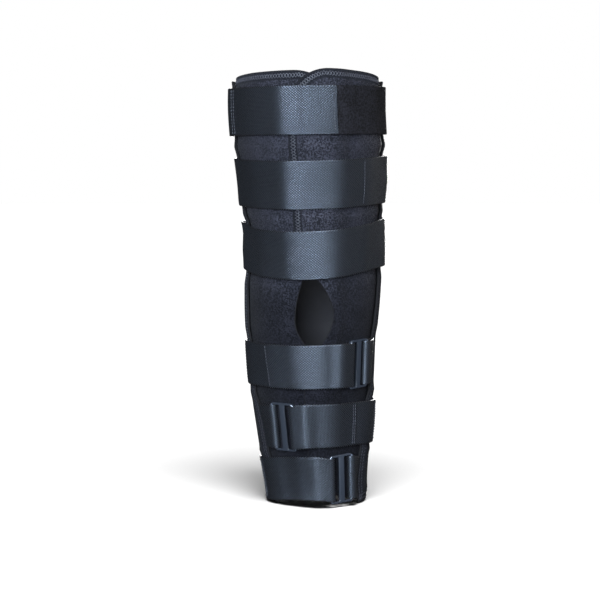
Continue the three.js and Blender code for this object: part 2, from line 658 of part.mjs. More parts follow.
addPiece("back_panel", backPanelGeometry(), FOAM_CLOTH);
addPiece("left_flap", flapGeometry(-1), FOAM_CLOTH);
addPiece("right_flap", flapGeometry(1), FOAM_CLOTH);

for (const strap of STRAPS) {
  if (strap.tab === undefined) {
    addPiece(`${strap.name}_strap`, plainStrapGeometry(strap), WEBBING_CLOTH);
    if (strap.end !== undefined) addPiece("loop_tape", loopTapeGeometry(strap), LOOP_CLOTH);
    continue;
  }
  const frame = buckleFrame(strap);
  addPiece(`${strap.name}_strap`, foldedStrapGeometry(strap, frame), WEBBING_CLOTH);
  addPiece(`${strap.name}_tab`, tabGeometry(strap, frame), WEBBING_CLOTH);
  const buckle = addPiece(`${strap.name}_buckle`, buckleGeometry(strap), BUCKLE_PLASTIC);
  const turned = new THREE.Matrix4().makeBasis(frame.tangent, frame.up, frame.out);
  buckle.quaternion.setFromRotationMatrix(turned);
  buckle.position.copy(frame.centre);
}

export default brace;
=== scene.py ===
import math
import bmesh
import bpy
import numpy as np
from mathutils import Matrix, Vector
from mathutils.bvhtree import BVHTree
from mathutils.kdtree import KDTree


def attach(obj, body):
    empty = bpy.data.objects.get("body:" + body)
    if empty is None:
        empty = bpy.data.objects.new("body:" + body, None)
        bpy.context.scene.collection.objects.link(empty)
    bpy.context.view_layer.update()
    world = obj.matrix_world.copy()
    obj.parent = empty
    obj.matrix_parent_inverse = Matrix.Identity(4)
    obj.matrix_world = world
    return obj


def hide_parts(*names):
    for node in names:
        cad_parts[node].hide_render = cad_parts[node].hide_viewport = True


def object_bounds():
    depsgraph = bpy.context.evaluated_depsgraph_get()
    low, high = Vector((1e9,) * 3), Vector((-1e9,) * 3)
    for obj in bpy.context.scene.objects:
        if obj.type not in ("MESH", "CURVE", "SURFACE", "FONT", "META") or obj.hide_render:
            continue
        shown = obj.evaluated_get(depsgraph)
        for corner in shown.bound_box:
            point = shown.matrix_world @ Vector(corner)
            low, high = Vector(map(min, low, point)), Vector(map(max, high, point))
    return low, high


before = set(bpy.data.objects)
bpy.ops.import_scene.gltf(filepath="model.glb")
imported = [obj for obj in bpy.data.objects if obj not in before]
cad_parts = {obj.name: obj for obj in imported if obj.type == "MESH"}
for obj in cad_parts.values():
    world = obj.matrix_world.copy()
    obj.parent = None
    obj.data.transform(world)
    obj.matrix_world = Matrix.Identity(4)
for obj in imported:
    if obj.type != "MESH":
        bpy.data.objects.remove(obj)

bl_info = {
    "name": "Knee Immobilizer",
    "version": (1, 0, 0),
    "blender": (4, 5, 0),
    "location": "3D View > Sidebar > Knee Immobilizer",
    "description": "Foam laminate, webbing, buckles and seams of a knee immobilizer, with its stage",
    "category": "Add Mesh",
}

CAD_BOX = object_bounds()

MM = 0.001
DEG = math.pi / 180

# Form of the brace. The origin is the middle of the leg's hollow at the kneecap, and the front faces -Y.
# Angles run from the front to +X.
BRACE_LENGTH = 450 * MM
LOWER_HEM = -199 * MM
TOP_HEM = LOWER_HEM + BRACE_LENGTH
THIGH_WIDTH = 142 * MM
THIGH_DEPTH = 148 * MM
FOAM = 5 * MM
LAYER_GAP = 0.95 * MM
BACK_PANEL_WIDTH = 240 * MM
BACK_PANEL_TOP = -9 * MM
BACK_PANEL_BOTTOM = -2 * MM
FLAP_TUCK = 50 * MM
TUCK_CLEAR = 10 * MM
TUCK_SETTLE = 35 * MM
RIGHT_HEM_RISE = 2 * MM
SIDE_HEM_DROP = 6 * MM
OVERLAP_LIFT = FOAM + LAYER_GAP
OVERLAP_CLEAR = 5 * MM
OVERLAP_SETTLE = 23 * MM
PRESSED_EDGE = 0.55
PRESSED_REACH = 12 * MM
THIGH_WEBBING = 50 * MM
CALF_WEBBING = 46 * MM
WEBBING = 1.8 * MM
LOOP_TAPE = 2.2 * MM
SEWN_BEHIND = 45 * MM
TAB_LENGTH = 21.5 * MM
TAB_SHORT = 2 * MM
TURNED_BACK = 89.6 * MM
SLOT_CLEARANCE = 0.5 * MM
BAR_CLEARANCE = 0.75 * MM
FOLD_RUN = 8 * MM
FOLD_SETTLE = 14 * MM
FOLD_SQUARENESS = 0.8
LOOP_TAPE_START = 5 * DEG
LOOP_TAPE_CLIMB = (-9 * DEG, 1 * DEG)
STIFF_ANGLE = 5 * DEG
STIFF_HEIGHT = 8 * MM
SMOOTH_ROUND = 12
SMOOTH_UP = 2
TOUCH = 1e-9
NOUGHT = 1e-15
BUCKLE_WIDTH = 29.5 * MM
BUCKLE_THICK = 3 * MM
OUTER_BAR = 3.5 * MM
MIDDLE_BAR = 7 * MM
BUCKLE_RAIL = 2.2 * MM
BUCKLE_CORNER = 4 * MM
BAR_OUT = (BUCKLE_WIDTH - OUTER_BAR) / 2
LOWER_LIFT = LAYER_GAP + WEBBING / 2
UPPER_LIFT = LOWER_LIFT + WEBBING + LAYER_GAP
BACK_MIDDLE = FOAM + LAYER_GAP + FOAM / 2


def rows_of(names, *rows):
    """Rows of a table as dictionaries; names are its columns, and a short row leaves out the last ones"""
    return [dict(zip(names.split(), row)) for row in rows]


# The leg's hollow, as shares: height of BRACE_LENGTH above the lower hem, width and side of THIGH_WIDTH,
# depth and back of THIGH_DEPTH
LEG_SECTIONS = rows_of(
    "height width depth side back",
    (-0.02, 0.59, 0.605, 0.052, 0.026),
    (0.04, 0.598, 0.615, 0.037, 0.03),
    (0.12, 0.664, 0.678, 0.018, 0.034),
    (0.171, 0.704, 0.715, 0.012, 0.034),
    (0.264, 0.762, 0.772, 0.0, 0.028),
    (0.384, 0.805, 0.805, -0.005, 0.014),
    (0.493, 0.838, 0.835, 0.004, 0.007),
    (0.585, 0.858, 0.86, 0.012, 0.005),
    (0.68, 0.904, 0.91, -0.001, 0.004),
    (0.74, 0.932, 0.935, -0.002, 0.003),
    (0.833, 0.979, 0.98, -0.018, 0.0),
    (0.92, 0.992, 1.0, -0.035, 0.0),
    (1.02, 0.992, 1.0, -0.032, 0.0),
)
BACK_PANEL_OUTLINE = rows_of(
    "height width", (-0.02, 0.92), (0.12, 0.995), (0.2, 1.03), (0.3, 0.97), (0.5, 0.96), (1.02, 1.0),
)
# Dents beside a strap: angle and spread in degrees, height and tall of BRACE_LENGTH, depth of FOAM
DENTS = rows_of(
    "angle spread height tall depth",
    (-93, 45, 0.64, 0.065, 0.7),
    (93, 40, 0.79, 0.05, 0.4),
)
# Front flaps: top and bottom place the free edge from the middle of the front; cut is the kneecap's cut-away
FLAPS = {row["name"]: row for row in rows_of(
    "name side top bottom top_corner bottom_corner cut cut_centre cut_up cut_down",
    ("right_flap", 1, -28 * MM, -1 * MM, (44 * MM, 46 * MM), (62 * MM, 47 * MM),
     32.5 * MM, 2 * MM, 58 * MM, 57 * MM),
    ("left_flap", -1, 18 * MM, 6 * MM, (38 * MM, 26 * MM), (44 * MM, 40 * MM),
     29 * MM, -5 * MM, 90 * MM, 46 * MM),
)}
# Straps: front, left, right and back are the brace left bare between a strap and its hem, as shares of
# BRACE_LENGTH, not counting the straps between them, whose number is before. Angles are in degrees.
# tab and turned are the lengths of its tab and its turned-back end, as shares of the longest ones.
# end_rows are the distances of its stitch rows from its free end, as far as the photograph shows them.
THIGH_STRAPS = rows_of(
    "name width hem before run front left right back end",
    ("thigh_top", THIGH_WEBBING, 1, 0, 1, 0.0354, 0.0374, 0.0334, 0.0354, 20.5),
    ("thigh_middle", THIGH_WEBBING, 1, 1, 1, 0.0933, 0.0893, 0.0823, 0.0833),
    ("thigh_low", THIGH_WEBBING, 1, 2, -1, 0.1422, 0.1332, 0.1182, 0.1222),
)
CALF_STRAPS = rows_of(
    "name width hem before run front left right back tab turned lean end_rows",
    ("calf_top", CALF_WEBBING, -1, 2, 1, 0.0674, 0.0664, 0.0734, 0.0704, 1, 1, -5 * MM, (1.8 * MM,)),
    ("calf_middle", CALF_WEBBING, -1, 1, -1, 0.0317, 0.0227, 0.0287, 0.0247, 0.96, 0.704, 0.0,
     (1.6 * MM, 4.4 * MM)),
    ("calf_low", CALF_WEBBING, -1, 0, 1, 0.0109, -0.0061, -0.0041, -0.0061, 0.6, 0.56, 0.0, ()),
)
STRAPS = {row["name"]: row for row in THIGH_STRAPS + CALF_STRAPS}
# Where a strap stands off the brace, as shares of its width
STAND_OFFS = rows_of(
    "strap angle spread top bottom lift",
    ("thigh_top", -85, 35, 0.03, 0.05, 0),
    ("thigh_middle", 93, 30, 0.06, 0.01, 0),
    ("thigh_low", -95, 36, 0.05, 0.01, 0.07),
    ("thigh_low", 90, 32, 0.01, 0.05, 0),
    ("calf_middle", 88, 32, 0.02, 0.03, 0),
)

# Close spacing beside the rounded edges of foam and webbing, and the spacing elsewhere
EDGE_STEPS = np.array([0, 0.12, 0.4, 0.8, 1.3, 2.0, 3.0, 4.2, 5.6]) * MM
WEBBING_EDGE_STEPS = np.array([0, 0.15, 0.4, 0.8, 1.4]) * MM
FINE_STEP = 2.2 * MM
RIBBON_STEP = 1.5 * MM
STATION_STEP = 3.5 * DEG
EDGE_ROUND = 1.6 * MM
CUT_EDGE = 0.7 * MM

# Lengths of ripples in the webbing, along and across, and of waves and creases in the foam, round and up
WEBBING_RIPPLE = (34 * MM, 70 * MM)
CALM_END = 10 * MM
FOAM_WAVE = (75 * MM, 62 * MM)
FOAM_CREASE = (34 * MM, 90 * MM)
WAVE_SEED = 4
CREASE_SEED = 9
USUAL_RADIUS = 70 * MM

# The foam swells from just inside a strap's edge to full height, and waves freely a little further out
SWELL_FROM = -1 * MM
SWELL_TO = 15 * MM
FREE_REACH = 12 * MM

# The cloth's dip at a seam, before and after it, and the shares of thickness left at the outermost edges
DIP_BEFORE = 1.6 * MM
DIP_AFTER = 2.5 * MM
FOAM_EDGE_SHARE = 0.004
WEBBING_EDGE_SHARE = 0.02

# Mouldings of the buckle
SLOT_CORNER = 1 * MM
BAR_INSET = 1.5 * MM
MOULDED_EDGE = 0.9 * MM
SOFT_ANGLE = 35 * DEG

# Thread: what is left of its radius at its ends, and the skin points that tell an edge's direction
THREAD_END = 0.35
NEAR_POINTS = 40

# Stitching: how far from a strap's end its boxes reach, and from the webbing's edges boxes and rows keep
BOX_FROM = 5 * MM
BOX_TO = 28 * MM
BOX_INSET = 4 * MM
ROW_INSET = 2 * MM
MIDDLE_ROW_INSET = 3 * MM
TOP_STRAP_ROWS = (-74 * DEG, -80 * DEG)
MIDDLE_STRAP_ROW = 46 * DEG

# The photograph's frame, in pixels: half its width, and the camera's distance at that scale
PICTURE_HALF = 300
PICTURE_DISTANCE = 2080

# Lights: share is of the front light's power
WARM = (1.0, 0.95, 0.93)
LIGHTS = rows_of(
    "name spot target width height share colour",
    ("front_softbox", (-0.35, -2.3, 0.48), (0, 0, 0.06), 0.8, 1.3, 1, (0.82, 0.91, 1.0)),
    ("buckle_strip_-1", (-1.1, -1.6, 0.35), (0, 0, -0.12), 0.25, 1.0, 1.6, (0.7, 0.84, 1.0)),
    ("buckle_strip_1", (1.1, -1.6, 0.35), (0, 0, -0.12), 0.25, 1.0, 1.6, (0.7, 0.84, 1.0)),
    ("right_fill", (2.0, -1.0, 0.5), (0, 0, 0.03), 0.8, 1.2, 0.032, WARM),
    ("right_rear_fill", (1.8, 1.8, 0.5), (0, 0, 0.03), 1.0, 1.2, 0.012, WARM),
    ("rear_softbox", (0.2, 2.5, 0.45), (0, 0, 0.03), 1.0, 1.2, 0.36, (1, 1, 1)),
)
FLOOR_SIZE = 24
FLOOR_GAP = 0.2 * MM
FAR_OFF = 60
SUN_SIZE = 36 * DEG
SUN_TURN = (30 * DEG, 3 * DEG, 0)


# Small helpers

def smoothstep(value, low, high):
    t = np.clip((value - low) / (high - low), 0, 1)
    return t * t * (3 - 2 * t)


def lerp(a, b, share):
    return a + (b - a) * share


def bump(distance, spread):
    """1 in the middle, falling to 0 at a distance of spread"""
    rise = np.cos(np.clip(distance / spread, -1, 1) * math.pi / 2) ** 2
    return np.where(np.abs(distance) < spread, rise, 0)


def rounded_share(distance, radius, least):
    """Share of a thickness that is left at a distance from its rounded edge"""
    u = 1 - np.clip(distance / radius, 0, 1)
    return np.sqrt(np.maximum(1 - u * u, least))


def unit(vectors):
    return vectors / np.maximum(np.linalg.norm(vectors, axis=-1, keepdims=True), NOUGHT)


def wave_noise(x, y, seed, waves=7, shortest=0.5):
    """Smooth noise from a few crossing waves, about -1 to 1; lengths run from 1 down to shortest"""
    draw = np.random.default_rng(seed)
    total = np.zeros(np.broadcast(x, y).shape)
    for _ in range(waves):
        length = draw.uniform(shortest, 1)
        turn = draw.uniform(0, 2 * math.pi)
        phase = draw.uniform(0, 2 * math.pi)
        total = total + np.sin((x * math.cos(turn) + y * math.sin(turn)) * 2 * math.pi / length + phase)
    return total / math.sqrt(waves * 2)


def curve_value(knots, values, places):
    """Catmull-Rom curve through values, which stand at the knots"""
    per_value = (...,) + (None,) * (values.ndim - 1)
    rows = np.arange(len(knots))
    before, after = np.maximum(rows - 1, 0), np.minimum(rows + 1, len(knots) - 1)
    slopes = (values[after] - values[before]) / (knots[after] - knots[before])[per_value]
    i = np.clip(np.searchsorted(knots, places, side="right") - 1, 0, len(knots) - 2)
    step = (knots[i + 1] - knots[i])[per_value]
    t = (places - knots[i])[per_value] / step
    a, b = values[i], values[i + 1]
    ma, mb = slopes[i] * step, slopes[i + 1] * step
    return a + t * (ma + t * (3 * (b - a) - 2 * ma - mb + t * (2 * (a - b) + ma + mb)))


def share_at(table, name, height):
    """Smooth value of one column of a table at a height share"""
    heights = np.array([row["height"] for row in table])
    return curve_value(heights, np.array([row[name] for row in table]), height)


def lengths_along(line):
    """Length from the start of a line to each of its points"""
    return np.concatenate([[0], np.cumsum(np.linalg.norm(np.diff(line, axis=0), axis=1))])


# The leg's hollow and the foam round it

def height_share(z):
    return (z - LOWER_HEM) / BRACE_LENGTH


def leg_section(z):
    height = height_share(z)
    half_width = THIGH_WIDTH / 2 * share_at(LEG_SECTIONS, "width", height)
    half_depth = THIGH_DEPTH / 2 * share_at(LEG_SECTIONS, "depth", height)
    x = THIGH_WIDTH * share_at(LEG_SECTIONS, "side", height)
    y = THIGH_DEPTH * share_at(LEG_SECTIONS, "back", height)
    return half_width, half_depth, x, y


def dent_depth(angle, z):
    height = height_share(z)
    angle = np.arctan2(np.sin(angle), np.cos(angle))
    depths = []
    for dent in DENTS:
        depth = FOAM * dent["depth"] * bump(angle - dent["angle"] * DEG, dent["spread"] * DEG)
        depths.append(depth * bump(height - dent["height"], dent["tall"]))
    return np.maximum.reduce(depths)


def leg_point(angle, z, offset):
    angle, z, offset = np.broadcast_arrays(angle, z, offset)
    half_width, half_depth, x, y = leg_section(z)
    out = offset - dent_depth(angle, z)
    return np.stack([x + (half_width + out) * np.sin(angle), y - (half_depth + out) * np.cos(angle), z], -1)


def mean_radius(z, offset):
    half_width, half_depth, _, _ = leg_section(z)
    return (half_width + half_depth) / 2 + offset


def angle_at_x(distance, z):
    half_width, _, x, _ = leg_section(z)
    return np.arcsin(np.clip((distance - x) / (half_width + FOAM), -1, 1))


def back_panel_width(z):
    return BACK_PANEL_WIDTH * share_at(BACK_PANEL_OUTLINE, "width", height_share(z))


def back_edge_angle(z):
    return math.pi - back_panel_width(z) / 2 / mean_radius(z, BACK_MIDDLE)


def straight_edge(flap, z):
    return lerp(flap["bottom"], flap["top"], height_share(z))


def edge_setback(flap, z):
    """How far the rounded corners and the kneecap's cut-away take a flap's free edge back"""
    def rounded(corner, into):
        width, height = corner
        u = np.clip(into / height, 0, 1)
        return width * (1 - np.sqrt(1 - u * u))

    top = rounded(flap["top_corner"], z - (TOP_HEM - flap["top_corner"][1]))
    bottom = rounded(flap["bottom_corner"], LOWER_HEM + flap["bottom_corner"][1] - z)
    reach = np.where(z > flap["cut_centre"], flap["cut_up"], flap["cut_down"])
    share = np.abs(z - flap["cut_centre"]) / reach
    return top + bottom + np.where(share < 1, flap["cut"] * np.cos(np.minimum(share, 1) * math.pi / 2), 0)


def overlap_lift(angle, z):
    edge = angle_at_x(straight_edge(FLAPS["left_flap"], z), z)
    past = (angle - edge) * mean_radius(z, FOAM)
    return OVERLAP_LIFT * (1 - smoothstep(past, OVERLAP_CLEAR, OVERLAP_CLEAR + OVERLAP_SETTLE))


def wall_at(distance):
    return FOAM * lerp(PRESSED_EDGE, 1, smoothstep(distance, 0, PRESSED_REACH))


def top_hem_at(angle, side):
    frontness = np.cos(np.clip(angle, -math.pi / 2, math.pi / 2))
    rise = RIGHT_HEM_RISE * frontness if side > 0 else 0
    return TOP_HEM - SIDE_HEM_DROP * (1 - frontness) + rise


def back_lift(distance):
    clear = FLAP_TUCK + TUCK_CLEAR
    return OVERLAP_LIFT * (1 - smoothstep(distance, clear, clear + TUCK_SETTLE))


def foam_offset(angle, z):
    """Offset of the outermost foam surface from the leg's hollow"""
    onto_back = (np.abs(angle) - back_edge_angle(z)) * mean_radius(z, BACK_MIDDLE)
    on_right = angle >= angle_at_x(straight_edge(FLAPS["right_flap"], z), z) - TOUCH
    front = FOAM + np.where(on_right, overlap_lift(angle, z), 0)
    return np.where(onto_back >= -TOUCH, OVERLAP_LIFT + wall_at(onto_back), front)


# The taut line that stiff webbing takes round the foam, as a field over angle and height

TAUT_MARGIN = 30 * MM
TAUT_LEVELS = np.arange(LOWER_HEM - TAUT_MARGIN, TOP_HEM + TAUT_MARGIN, 2 * MM)
TAUT_ANGLES = np.arange(-math.pi, math.pi - TOUCH, 1.5 * DEG)


def convex_outline(points):
    """The convex outline round points in a plane"""
    ordered = sorted(map(tuple, points))

    def chain(line):
        kept = []
        for p in line:
            while len(kept) > 1:
                (ax, ay), (bx, by) = kept[-2:]
                if (bx - ax) * (p[1] - ay) - (by - ay) * (p[0] - ax) > 0:
                    break
                kept.pop()
            kept.append(p)
        return kept[:-1]

    return np.array(chain(ordered) + chain(ordered[::-1]))


def taut_offsets(z):
    """Offset of the taut outline from the leg's hollow at each of TAUT_ANGLES"""
    edge = float(back_edge_angle(z))
    right = float(angle_at_x(straight_edge(FLAPS["right_flap"], z), z))
    angles = np.concatenate([[edge, -edge, right], np.arange(-math.pi, math.pi, 3 * DEG)])
    _, _, x, y = leg_section(z)
    middle = np.array([x, y])
    hull = convex_outline(leg_point(angles, z, foam_offset(angles, z))[:, :2]) - middle
    rays = leg_point(TAUT_ANGLES, z, 0)[:, :2] - middle
    along = np.roll(hull, -1, axis=0) - hull

    def cross(a, b):
        return a[..., 0] * b[..., 1] - a[..., 1] * b[..., 0]

    base = cross(rays[:, None], along[None])
    base = np.where(np.abs(base) < NOUGHT, NOUGHT, base)
    reach = cross(hull, along)[None] / base
    share = cross(hull[None], rays[:, None]) / base
    hit = (reach > 0) & (share >= -TOUCH) & (share <= 1 + TOUCH)
    return (np.where(hit, reach, 0).max(axis=1) - 1) * np.linalg.norm(rays, axis=1)


def taut_field():
    offsets = np.array([taut_offsets(z) for z in TAUT_LEVELS])
    turns = round(STIFF_ANGLE / (TAUT_ANGLES[1] - TAUT_ANGLES[0]))
    rises = round(STIFF_HEIGHT / (TAUT_LEVELS[1] - TAUT_LEVELS[0]))
    padded = np.pad(offsets, ((rises, rises), (0, 0)), mode="edge")
    layers = [
        np.roll(padded[rises + dz:rises + dz + len(offsets)], turn, axis=1)
        for turn in (-turns, 0, turns)
        for dz in (-rises, 0, rises)
    ]
    field = np.maximum.reduce(layers)
    for _ in range(SMOOTH_ROUND):
        field = (np.roll(field, 1, axis=1) + field + np.roll(field, -1, axis=1)) / 3
    for _ in range(SMOOTH_UP):
        field[1:-1] = (field[:-2] + field[1:-1] + field[2:]) / 3
    return field


TAUT = taut_field()


def grid_value(field, row, column, wrap=False):
    """Bicubic value of a field of numbers or vectors at fractional rows and columns"""
    rows, columns = field.shape[:2]
    as_field = (...,) + (None,) * (field.ndim - 2)
    row = np.clip(row, 0, rows - 1.000001)
    r0 = np.floor(row).astype(int)
    column = column % columns if wrap else np.clip(column, 0, columns - 1.000001)
    c0 = np.floor(column).astype(int)

    def weights(t):
        t2, t3 = t * t, t * t * t
        return (-t3 + 2 * t2 - t) / 2, (3 * t3 - 5 * t2 + 2) / 2, (-3 * t3 + 4 * t2 + t) / 2, (t3 - t2) / 2

    total = 0
    for i, wr in enumerate(weights(row - r0)):
        r = np.clip(r0 + i - 1, 0, rows - 1)
        for j, wc in enumerate(weights(column - c0)):
            c = c0 + j - 1
            c = c % columns if wrap else np.clip(c, 0, columns - 1)
            total = total + (wr * wc)[as_field] * field[r, c]
    return total


def taut_point(angle, z, lift):
    angle, z, lift = np.broadcast_arrays(angle, z, lift)
    row = (z - TAUT_LEVELS[0]) / (TAUT_LEVELS[1] - TAUT_LEVELS[0])
    column = (angle - TAUT_ANGLES[0]) / (TAUT_ANGLES[1] - TAUT_ANGLES[0])
    return leg_point(angle, z, grid_value(TAUT, row, column, wrap=True) + lift)


# Straps on the taut line

def stand_off_sum(name, angle, measure):
    return sum(
        STRAPS[name]["width"] * measure(s) * bump(angle - s["angle"] * DEG, s["spread"] * DEG)
        for s in STAND_OFFS if s["strap"] == name
    )


def strap_height(name, angle):
    s = STRAPS[name]
    bare = (
        (s["front"] + s["back"] + s["left"] + s["right"]) / 4
        + (s["right"] - s["left"]) / 2 * np.sin(angle)
        + (s["front"] - s["back"]) / 2 * np.cos(angle)
        + (s["front"] + s["back"] - s["left"] - s["right"]) / 4 * np.cos(2 * angle)
    )
    inward = BRACE_LENGTH * bare + (s["before"] + 0.5) * s["width"]
    z = TOP_HEM - inward if s["hem"] > 0 else LOWER_HEM + inward
    return z + stand_off_sum(name, angle, lambda off: off["lift"])


def across_shares(width):
    """Places across a ribbon, close together at its rounded edges"""
    edge = WEBBING_EDGE_STEPS / width
    middle = np.linspace(edge[-1], 1 - edge[-1], 15)
    return np.concatenate([edge[:-1], middle, 1 - edge[-2::-1]])


def strap_station(name, angle, lift):
    """Points across a strap at an angle, which may lean from edge to edge"""
    width = STRAPS[name]["width"]
    share = across_shares(width)
    angle = np.broadcast_to(angle, share.shape)
    z = strap_height(name, angle) + (share - 0.5) * width
    stand_off = stand_off_sum(name, angle, lambda off: lerp(off["bottom"], off["top"], share))
    return taut_point(angle, z, lift + stand_off)


def stations_between(name, start, end, lift_at, lean=0.0):
    """Stations from one angle to another; lean slants them towards the end"""
    count = max(3, math.ceil(abs(end - start) / STATION_STEP) + 1)
    stations = []
    for t in np.linspace(0, 1, count):
        angle = lerp(start, end, t)
        slant = lean * t * (across_shares(STRAPS[name]["width"]) - 0.5)
        stations.append(strap_station(name, angle + slant, lift_at(angle)))
    return stations


def rear_angle(name, sign):
    z = strap_height(name, sign * math.pi / 2)
    return sign * (back_edge_angle(z) + SEWN_BEHIND / mean_radius(z, OVERLAP_LIFT + FOAM))


def resampled(stations):
    """Stations drawn through by a smooth curve and set out again at an even step, with their lengths"""
    points = np.array(stations)
    lengths = lengths_along(points[:, points.shape[1] // 2])
    ends = WEBBING_EDGE_STEPS[:-1]
    last = WEBBING_EDGE_STEPS[-1]
    count = max(4, math.ceil(lengths[-1] / RIBBON_STEP))
    places = np.concatenate([ends, np.linspace(last, lengths[-1] - last, count), lengths[-1] - ends[::-1]])
    return curve_value(lengths, points, places), places


# Meshes from grids of points

def grid_quads(rows, columns):
    """Corner numbers of the faces of a grid of points"""
    ids = np.arange(rows * columns).reshape(rows, columns)
    return np.stack([ids[:-1, :-1], ids[:-1, 1:], ids[1:, 1:], ids[1:, :-1]], -1).reshape(-1, 4)


def border(grid):
    """The closed line round a grid"""
    return np.concatenate([grid[0, :-1], grid[:-1, -1], grid[-1, :0:-1], grid[:0:-1, 0]])


def add_object(name, data):
    """An object in the scene that holds a mesh, a light or a camera"""
    added = bpy.data.objects.new(name, data)
    bpy.context.scene.collection.objects.link(added)
    return added


def smooth_piece(name, points, faces, materials):
    """A smoothly shaded mesh object in the scene"""
    mesh = bpy.data.meshes.new(name)
    mesh.from_pydata(points.tolist(), [], faces)
    mesh.polygons.foreach_set("use_smooth", np.ones(len(faces), dtype=bool))
    for material in materials:
        mesh.materials.append(material)
    return add_object(name, mesh)


def wall_mesh(name, outer, inner, uv, materials, edge_distance):
    """A closed wall between two grids. Material slots: outer face, inner face and, last, its cut edge"""
    rows, columns = outer.shape[:2]
    count = rows * columns
    skin = grid_quads(rows, columns)
    loop = border(np.arange(count).reshape(rows, columns))
    turned = np.roll(loop, -1)
    faces = np.concatenate([
        skin,
        skin[:, ::-1] + count,
        np.stack([turned, loop, loop + count, turned + count], -1),
    ])
    points = np.concatenate([outer.reshape(-1, 3), inner.reshape(-1, 3)])
    corner = points[faces]
    volume = sum(
        np.einsum("ij,ij->i", corner[:, 0], np.cross(corner[:, k], corner[:, k + 1])).sum() for k in (1, 2)
    )
    if volume < 0:
        faces = faces[:, ::-1]
    piece = smooth_piece(name, points, faces.tolist(), materials)
    mesh = piece.data
    last = len(materials) - 1
    slots = np.repeat([0, 1, last], [len(skin), len(skin), len(loop)])
    near = edge_distance.reshape(-1)[faces % count].mean(axis=1) < CUT_EDGE
    mesh.polygons.foreach_set("material_index", np.where(near, last, slots).astype(np.int32))
    layer = mesh.uv_layers.new(name="cloth")
    flat = uv.reshape(-1, 2)
    layer.data.foreach_set("uv", flat[faces.reshape(-1) % count].astype(np.float32).reshape(-1))
    attribute = mesh.attributes.new("edge_distance", "FLOAT", "POINT")
    attribute.data.foreach_set("value", np.tile(edge_distance.reshape(-1), 2).astype(np.float32))
    mesh.update()
    return piece


def grid_normals(points):
    """Normals of a grid of points, from its rows and columns"""
    down = np.gradient(points, axis=0)
    across = np.gradient(points, axis=1)
    return unit(np.cross(down, across))


def woven_strip(name, stations, thickness, sizes, material, slot, seed):
    """A strip of webbing or tape along stations, with rounded edges and ends; its grid goes into SURFACES"""
    middle, lengths = resampled(stations)
    share = np.linspace(0, 1, middle.shape[1])
    widths = lengths_along(middle[0])
    normals = grid_normals(middle)
    from_side = np.minimum(widths, widths[-1] - widths)
    from_end = np.minimum(lengths, lengths[-1] - lengths)
    side = rounded_share(from_side, thickness / 2, WEBBING_EDGE_SHARE)
    end = rounded_share(from_end, thickness / 2, WEBBING_EDGE_SHARE)
    half = thickness / 2 * np.minimum(end[:, None], side[None, :])
    waves = wave_noise(lengths[:, None] / WEBBING_RIPPLE[0], widths[None, :] / WEBBING_RIPPLE[1], seed)
    edge_ripple = sizes.ripple * waves * (0.45 + 0.9 * (2 * share[None, :] - 1) ** 2)
    calm = smoothstep(from_end, 0, CALM_END)[:, None]
    middle = middle + normals * (edge_ripple * calm)[..., None]
    uv = np.stack(np.broadcast_arrays(lengths[:, None], widths[None, :]), -1)
    outer = middle + normals * half[..., None]
    inner = middle - normals * half[..., None]
    outward = middle - middle.reshape(-1, 3).mean(axis=0)
    outward[..., 2] = 0
    if (normals * outward).sum() < 0:
        outer, inner = inner, outer
        normals = -normals
    edge_distance = np.broadcast_to(from_side, outer.shape[:2])
    piece = wall_mesh(name + "_webbing", outer, inner, uv, [material], edge_distance)
    finish_piece(piece, name, slot=slot)
    SURFACES[name] = {
        "outer": outer, "inner": inner, "normals": normals, "lengths": lengths, "widths": widths,
    }


def webbing_strip(name, stations, sizes, colours, seed):
    webbing = finish_of(webbing_finish, colours, sizes)
    woven_strip(name, stations, WEBBING, sizes, webbing, "webbing", seed)


def finish_piece(piece, *nodes, slot):
    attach(piece, "root")
    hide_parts(*nodes)


# Foam panels

def strap_distance(angle, z):
    """Distance from the nearest strap's edge, less than 0 under a strap"""
    gaps = [np.abs(z - strap_height(name, angle)) - s["width"] / 2 for name, s in STRAPS.items()]
    return np.minimum.reduce(gaps)


def laminate_swell(angle, z, sizes):
    """How far the laminate stands out: it swells between the straps and waves a little"""
    beside = strap_distance(angle, z)
    swell = sizes.under_strap + sizes.swell * smoothstep(beside, SWELL_FROM, SWELL_TO)
    x = np.sin(angle) * USUAL_RADIUS
    y = np.cos(angle) * USUAL_RADIUS
    (wave_round, wave_up), (crease_round, crease_up) = FOAM_WAVE, FOAM_CREASE
    waves = wave_noise((x + 0.6 * y) / wave_round, z / wave_up, WAVE_SEED, waves=9, shortest=0.4)
    creases = wave_noise((x - 0.8 * y) / crease_round, z / crease_up, CREASE_SEED, waves=6, shortest=0.6)
    free = 0.3 + 0.7 * smoothstep(beside, 0, FREE_REACH)
    return swell + free * (sizes.wave * waves + 0.5 * sizes.wave * creases)


def spaced(length):
    """Places from 0 to length, close together at both ends"""
    count = math.ceil((length - 2 * EDGE_STEPS[-1]) / FINE_STEP)
    middle = np.linspace(EDGE_STEPS[-1], length - EDGE_STEPS[-1], count + 1)
    return np.concatenate([EDGE_STEPS[:-1], middle, length - EDGE_STEPS[-2::-1]])


def places_between(lengths, count):
    """Places along each length: set distances at both ends and even steps between them"""
    near = np.broadcast_to(EDGE_STEPS[:-1], (len(lengths), len(EDGE_STEPS) - 1))
    inside = lengths[:, None] - 2 * EDGE_STEPS[-1]
    middle = EDGE_STEPS[-1] + inside * np.linspace(0, 1, count + 1)
    return np.concatenate([near, middle, lengths[:, None] - near[:, ::-1]], axis=1)


def point_tree(points):
    tree = KDTree(len(points))
    for i, p in enumerate(points):
        tree.insert(p, i)
    tree.balance()
    return tree


